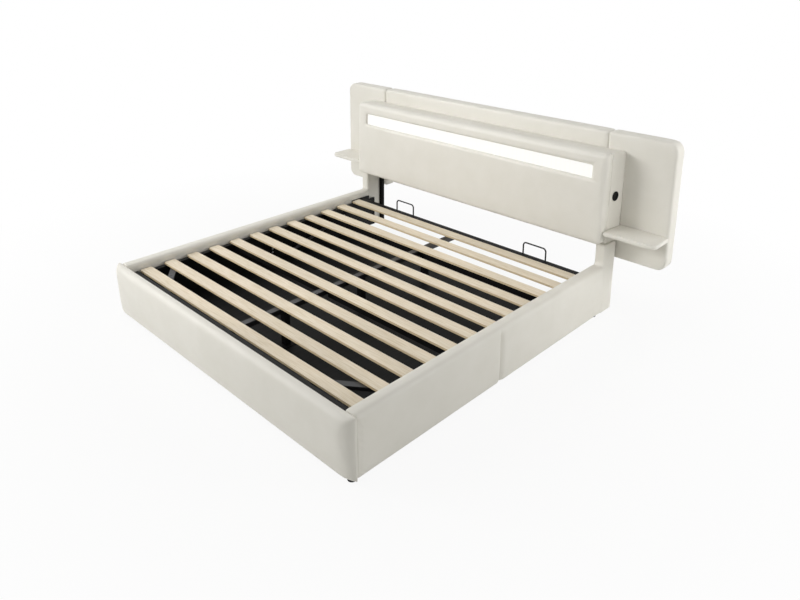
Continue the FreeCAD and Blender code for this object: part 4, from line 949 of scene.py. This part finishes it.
@dataclass
class Upholstery:
    """All of the bed's leather pieces, which are made and filled together.

    Attributes:
        rail_in: The inner face of each side rail, from the bed's middle.
        foot_rear: The rear face of the footboard.
        panel_front: The front of the panels at the back.
        panel_rear: Their rear.
        pad_lean: How far the pad leans back for each metre up.
        pad_side: Where the pad's side faces begin, from the bed's middle.
        pad_seam: How far behind the pad's front the seam on its side runs.
        pad_stitches: How far behind that seam its stitches run.
        slot: How high over the pad's foot the slot begins and ends.
        covers: The covers.
    """

    rail_in: float = 1.008
    foot_rear: float = -1.130
    panel_front: float = 1.087
    panel_rear: float = 1.188
    pad_lean: float = 0.0264
    pad_side: float = 1.06
    pad_seam: float = 40 * MM
    pad_stitches: float = 4 * MM
    slot: tuple[float, float] = (0.395, 0.512)
    covers: list[Cover] = field(default_factory=list)

    def plan(self) -> None:
        """Lists each cover with its contacts and seams."""
        self.covers.append(self.footboard())
        for side in (-1, 1):
            self.covers += [self.rail_front(side), self.rail_rear(side), self.wing(side), self.shelf(side)]
        self.covers += [self.light_box(), self.front_pad(), self.center_panel()]

    def footboard(self) -> Cover:
        """Gives the footboard's cover, one panel that rolls over its top and round its ends."""
        low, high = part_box("footboard")
        reach = 45 * MM
        return Cover(
            "footboard",
            (Contact(ALONG, self.foot_rear, 1), Contact(UP, low.z, -1)),
            limp=(
                ((low.x - MM, low.y - MM, low.z - MM), (low.x + reach, high.y - 12 * MM, low.z + reach)),
                ((high.x - reach, low.y - MM, low.z - MM), (high.x + MM, high.y - 12 * MM, low.z + reach)),
            ),
            corner=(100 * MM, 31 * MM),
        )

    def rail_front(self, side: int) -> Cover:
        """Gives the front half of a side rail, which rolls over narrowly at the joint."""
        name = f"side_rail_front_{HANDS[side]}"
        low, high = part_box(name)
        return Cover(
            name,
            (
                Contact(ACROSS, side * self.rail_in, -side),
                Contact(UP, low.z, -1),
                Contact(ALONG, low.y, -1),
                Contact(ALONG, high.y, 1, held=False, roll=22 * MM, sink=11 * MM),
            ),
            voxel=7 * MM,
        )

    def rail_rear(self, side: int) -> Cover:
        """Gives the rear half of a side rail, whose leather runs on without a seam over the head post."""
        hand = HANDS[side]
        low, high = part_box(f"side_rail_rear_{hand}")
        post_low, post_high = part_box(f"post_{hand}")
        return Cover(
            f"side_rail_rear_{hand}",
            (
                Contact(ACROSS, side * self.rail_in, -side, high=(FAR, high.y, FAR)),
                Contact(UP, low.z, -1),
                Contact(ALONG, low.y, -1, held=False, roll=42 * MM, sink=13 * MM),
                Contact(UP, post_high.z, 1, low=(-FAR, post_low.y - 20 * MM, -FAR)),
                Contact(ALONG, post_high.y, 1),
            ),
            joined=f"post_{hand}",
            voxel=7 * MM,
        )

    def panel(self, name: str, ends: tuple[Contact, ...], voxel: float = 8 * MM) -> Cover:
        """Gives one of the tall panels at the back, which is cut square at the given ends."""
        rear = Contact(ALONG, self.panel_rear, 1)
        front = Contact(ALONG, self.panel_front, -1, held=False)
        return Cover(name, (rear, *ends, front), voxel=voxel)

    def wing(self, side: int) -> Cover:
        """Gives a side panel of the headboard."""
        name = f"wing_{HANDS[side]}"
        low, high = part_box(name)
        inner = low.x if side > 0 else high.x
        return self.panel(name, (Contact(ACROSS, inner, -side, crisp=True),))

    def center_panel(self) -> Cover:
        """Gives the middle panel of the headboard."""
        low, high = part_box("center_panel")
        ends = (Contact(ACROSS, low.x, -1, crisp=True), Contact(ACROSS, high.x, 1, crisp=True))
        return self.panel("center_panel", ends, 9 * MM)

    def shelf(self, side: int) -> Cover:
        """Gives a bedside shelf: a thin board with a leather band round its edge."""
        name = f"shelf_{HANDS[side]}"
        low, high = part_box(name)
        inner = low.x if side > 0 else high.x
        return Cover(
            name,
            (Contact(ALONG, high.y, 1), Contact(ACROSS, inner, -side)),
            (Seam(UP, high.z - 5 * MM, depth=1.2 * MM), Seam(UP, low.z + 5 * MM, depth=1.2 * MM)),
            voxel=5 * MM,
            swell=1.6 * MM,
        )

    def light_box(self) -> Cover:
        """Gives the box behind the pad, which holds the light and the port."""
        low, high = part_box("light_box")
        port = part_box("port_ring")
        reach = Vector((20 * MM, 12 * MM, 12 * MM))
        return Cover(
            "light_box",
            (Contact(ALONG, high.y, 1, crisp=True), Contact(UP, low.z, -1)),
            voxel=6.5 * MM,
            slack=0.6 * MM,
            swell=0.8 * MM,
            fill=0.95,
            eased=1,
            firm=(
                (tuple(port[0] - reach), tuple(port[1] + reach)),
                ((-FAR, -FAR, -FAR), (FAR, low.y + self.pad_lean * (high.z - low.z) + 12 * MM, FAR)),
            ),
        )

    def front_pad(self) -> Cover:
        """Gives the leaning pad with the light's slot across it."""
        low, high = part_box("front_pad")
        front = low.y
        rear = high.y - self.pad_lean * (high.z - low.z)
        bottom, top = (low.z + height for height in self.slot)
        slot = ((-1.0, front + 6 * MM, bottom), (1.0, FAR, top))

        def side_seam(side: int) -> Seam:
            """Gives the seam down one side face of the pad, with its row of stitches."""
            inner, outer = sorted((self.pad_side * side, FAR * side))
            place = {"low": (inner, -FAR, -FAR), "high": (outer, FAR, FAR)}
            return Seam(ALONG, front + self.pad_seam, (self.pad_stitches,), **place)

        return Cover(
            "front_pad",
            (Contact(ALONG, rear, 1, crisp=True), Contact(UP, low.z, -1, held=False)),
            tuple(side_seam(side) for side in (-1, 1)),
            lean=self.pad_lean,
            foot=low.z,
            voxel=6.5 * MM,
            eased=2,
            slack=2.2 * MM,
            swell=2.2 * MM,
            fill=0.8,
            firm=(slot,),
        )

    def make(self) -> None:
        """Cuts, fills, settles and sews every cover, hangs it on the base and hides its CAD nodes."""
        self.plan()
        for cover in self.covers:
            cover.cut()
        for cover in self.covers:
            cover.fill_foam()
        for step in range(1, FRAMES + 1):
            bpy.context.scene.frame_set(step)
        for cover in self.covers:
            cover.settle()
        bpy.context.scene.frame_set(1)
        for cover in self.covers:
            cover.sew()
            cover.finish()
            log.info("cover_%s: %d faces", cover.node, len(cover.piece.data.polygons))


# Hard pieces that keep their CAD form


@dataclass
class HardPieces:
    """The CAD nodes whose form is right as it is, each with its real finish.

    Attributes:
        glossy: The nodes whose coat is glossier than the rest of their slot.
    """

    glossy: tuple[str, ...] = ("center_tube", "corner_braces", "strut_cylinder_left", "strut_cylinder_right")

    def dress(self) -> None:
        """Gives each hard node the material of its slot in the record."""
        slots = {part["node"]: part["material_slot"] for part in frame["record"]["subparts"]}
        for name, node in frame["nodes"].items():
            finish = FINISHES.get(slots.get(name, ""))
            if finish is None:
                continue
            if name in self.glossy:
                finish = GLOSSY_STEEL
            for slot in node.material_slots:
                slot.material = finish.material()
            log.info("%s: %s", name, finish.name)


# Studio


@dataclass
class Lamp:
    """A large soft lamp that shines on the bed.

    Attributes:
        name: The lamp's name.
        towards: The direction from the aim to the lamp.
        distance: How far away it hangs.
        size: The side of its square face.
        share: How bright it alone makes a white surface that faces it, where 1 is white.
        aim: The point that it shines on.
        beam: How wide the grid before it lets the light out, in degrees.
    """

    name: str
    towards: Point
    distance: float
    size: float
    share: float
    aim: Point = (0.0, 0.0, 0.5)
    beam: float = 180.0

    def hang(self) -> None:
        """Hangs the lamp; a narrow beam isn't brighter in its middle than a wide one."""
        data = bpy.data.lights.new(self.name, "AREA")
        data.shape = "SQUARE"
        data.size = self.size
        data.energy = self.share * (math.pi * self.distance) ** 2
        if self.beam < 180:
            half = math.radians(self.beam) / 2
            data.spread = 2 * half
            data.energy *= 1 - half / math.tan(half)
        lamp = place_object(self.name, data)
        direction = Vector(self.towards).normalized()
        lamp.location = Vector(self.aim) + direction * self.distance
        lamp.rotation_euler = direction.to_track_quat("Z", "Y").to_euler()
        lamp.visible_camera = False


@dataclass
class Studio:
    """The camera, the pale floor, the lamps and the white around them.

    Attributes:
        eye: Where the camera is.
        ahead: The direction that it looks in.
        lens: Its focal length in millimetres.
        sensor: The width of its sensor in millimetres.
        shift: How far the picture is shifted, as shares of its width.
        clip: The nearest and the farthest distance that it sees.
        around: The light that comes from all around, as an sRGB hex colour.
        floor_tone: The floor's colour.
        floor_half: Half of the floor's side.
        floor_height: The floor's height, just under the feet.
        near_white: How much of the floor shows as plain white under the bed.
        fade: How far from the bed's middle the floor starts and ends to turn all white.
        lamps: The lamps.
    """

    eye: Point = (2.9975, -2.8514, 2.2113)
    ahead: Point = (-0.6797, 0.6814, -0.2716)
    lens: float = 32.057
    sensor: float = 36.0
    shift: tuple[float, float] = (0.01403, -0.18489)
    clip: tuple[float, float] = (0.05, 60.0)
    around: str = "#ADADAB"
    floor_tone: str = "#E6E6E4"
    floor_half: float = 14.0
    floor_height: float = -0.5 * MM
    near_white: float = 0.91
    fade: tuple[float, float] = (1.6, 3.4)
    lamps: tuple[Lamp, ...] = (
        Lamp("lamp_above", (-0.6, 0.0, 0.8), 5.0, 3.0, 0.17),
        Lamp("lamp_left", (-0.69, -0.62, 0.36), 6.0, 1.3, 0.24),
        Lamp("lamp_front", (-0.35, -0.90, 0.30), 6.5, 3.0, 0.15),
        Lamp("lamp_rail", (0.72, 0.62, 0.31), 6.5, 3.0, 0.33, (1.1, -0.3, 0.2)),
        Lamp("lamp_right", (0.95, -0.05, 0.28), 4.0, 1.6, 0.44, (1.0, 1.0, 0.80), 36.0),
        Lamp("lamp_headboard", (-0.48, -0.80, 0.40), 5.0, 1.0, 0.31, (0.52, 1.0, 0.64), 60.0),
    )

    def set_camera(self) -> None:
        """Puts the camera at the photograph's place."""
        data = bpy.data.cameras.new("camera")
        data.lens = self.lens
        data.sensor_width = self.sensor
        data.shift_x, data.shift_y = self.shift
        data.clip_start, data.clip_end = self.clip
        camera = place_object("camera", data)
        camera.location = self.eye
        camera.rotation_euler = Vector(self.ahead).to_track_quat("-Z", "Y").to_euler()
        bpy.context.scene.camera = camera

    @staticmethod
    def seen_plainly(tree: Tree) -> Socket:
        """Gives one where the camera, a reflection or glass looks at a surface, and nothing elsewhere."""
        path = add_node(tree, "ShaderNodeLightPath").outputs
        seen = path["Is Camera Ray"]
        for name in ("Is Glossy Ray", "Is Transmission Ray"):
            seen = calculated("MAXIMUM", seen, path[name])
        return seen

    def set_world(self) -> None:
        """Makes the surroundings: soft grey light on the bed, and plain white to the eye."""
        world = bpy.data.worlds.new("surroundings")
        tree = bare_tree(world)
        soft = add_node(tree, "ShaderNodeBackground", {"Color": linear(self.around)})
        white = add_node(tree, "ShaderNodeBackground", {"Color": (1, 1, 1, 1)})
        inputs = {0: self.seen_plainly(tree), 1: soft.outputs["Background"], 2: white.outputs["Background"]}
        both = add_node(tree, "ShaderNodeMixShader", inputs)
        add_node(tree, "ShaderNodeOutputWorld", {"Surface": both.outputs["Shader"]})
        bpy.context.scene.world = world

    def lay_floor(self) -> None:
        """Lays a plain pale floor that keeps the bed's soft shadow."""
        sheet = bmesh.new()
        bmesh.ops.create_grid(sheet, x_segments=4, y_segments=4, size=self.floor_half)
        paint = bpy.data.materials.new("studio_floor_white")
        tree = bare_tree(paint)
        matt = add_node(tree, "ShaderNodeBsdfDiffuse", {"Color": linear(self.floor_tone)})
        white = add_node(tree, "ShaderNodeEmission", {"Color": (1, 1, 1, 1)})
        place = add_node(tree, "ShaderNodeTexCoord").outputs["Object"]
        away = add_node(tree, "ShaderNodeVectorMath", {0: place}, operation="LENGTH").outputs["Value"]
        plain = spread(away, self.near_white, 1.0, self.fade)
        share = calculated("MULTIPLY", self.seen_plainly(tree), plain)
        inputs = {0: share, 1: matt.outputs["BSDF"], 2: white.outputs["Emission"]}
        both = add_node(tree, "ShaderNodeMixShader", inputs)
        add_node(tree, "ShaderNodeOutputMaterial", {"Surface": both.outputs["Shader"]})
        floor = new_piece("studio_floor", mesh_of(sheet, "studio_floor"), paint, smooth=False)
        floor.location = (0, 0, self.floor_height)

    def set_up(self) -> None:
        """Sets up the whole studio."""
        bpy.context.scene.view_settings.view_transform = "Standard"
        self.set_camera()
        self.set_world()
        self.lay_floor()
        for lamp in self.lamps:
            lamp.hang()


def main() -> None:
    """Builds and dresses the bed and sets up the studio."""
    logging.basicConfig(level=logging.INFO, format="%(name)s %(message)s")
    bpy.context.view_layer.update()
    Upholstery().make()
    HardPieces().dress()
    Studio().set_up()


if __name__ == "__main__":
    main()
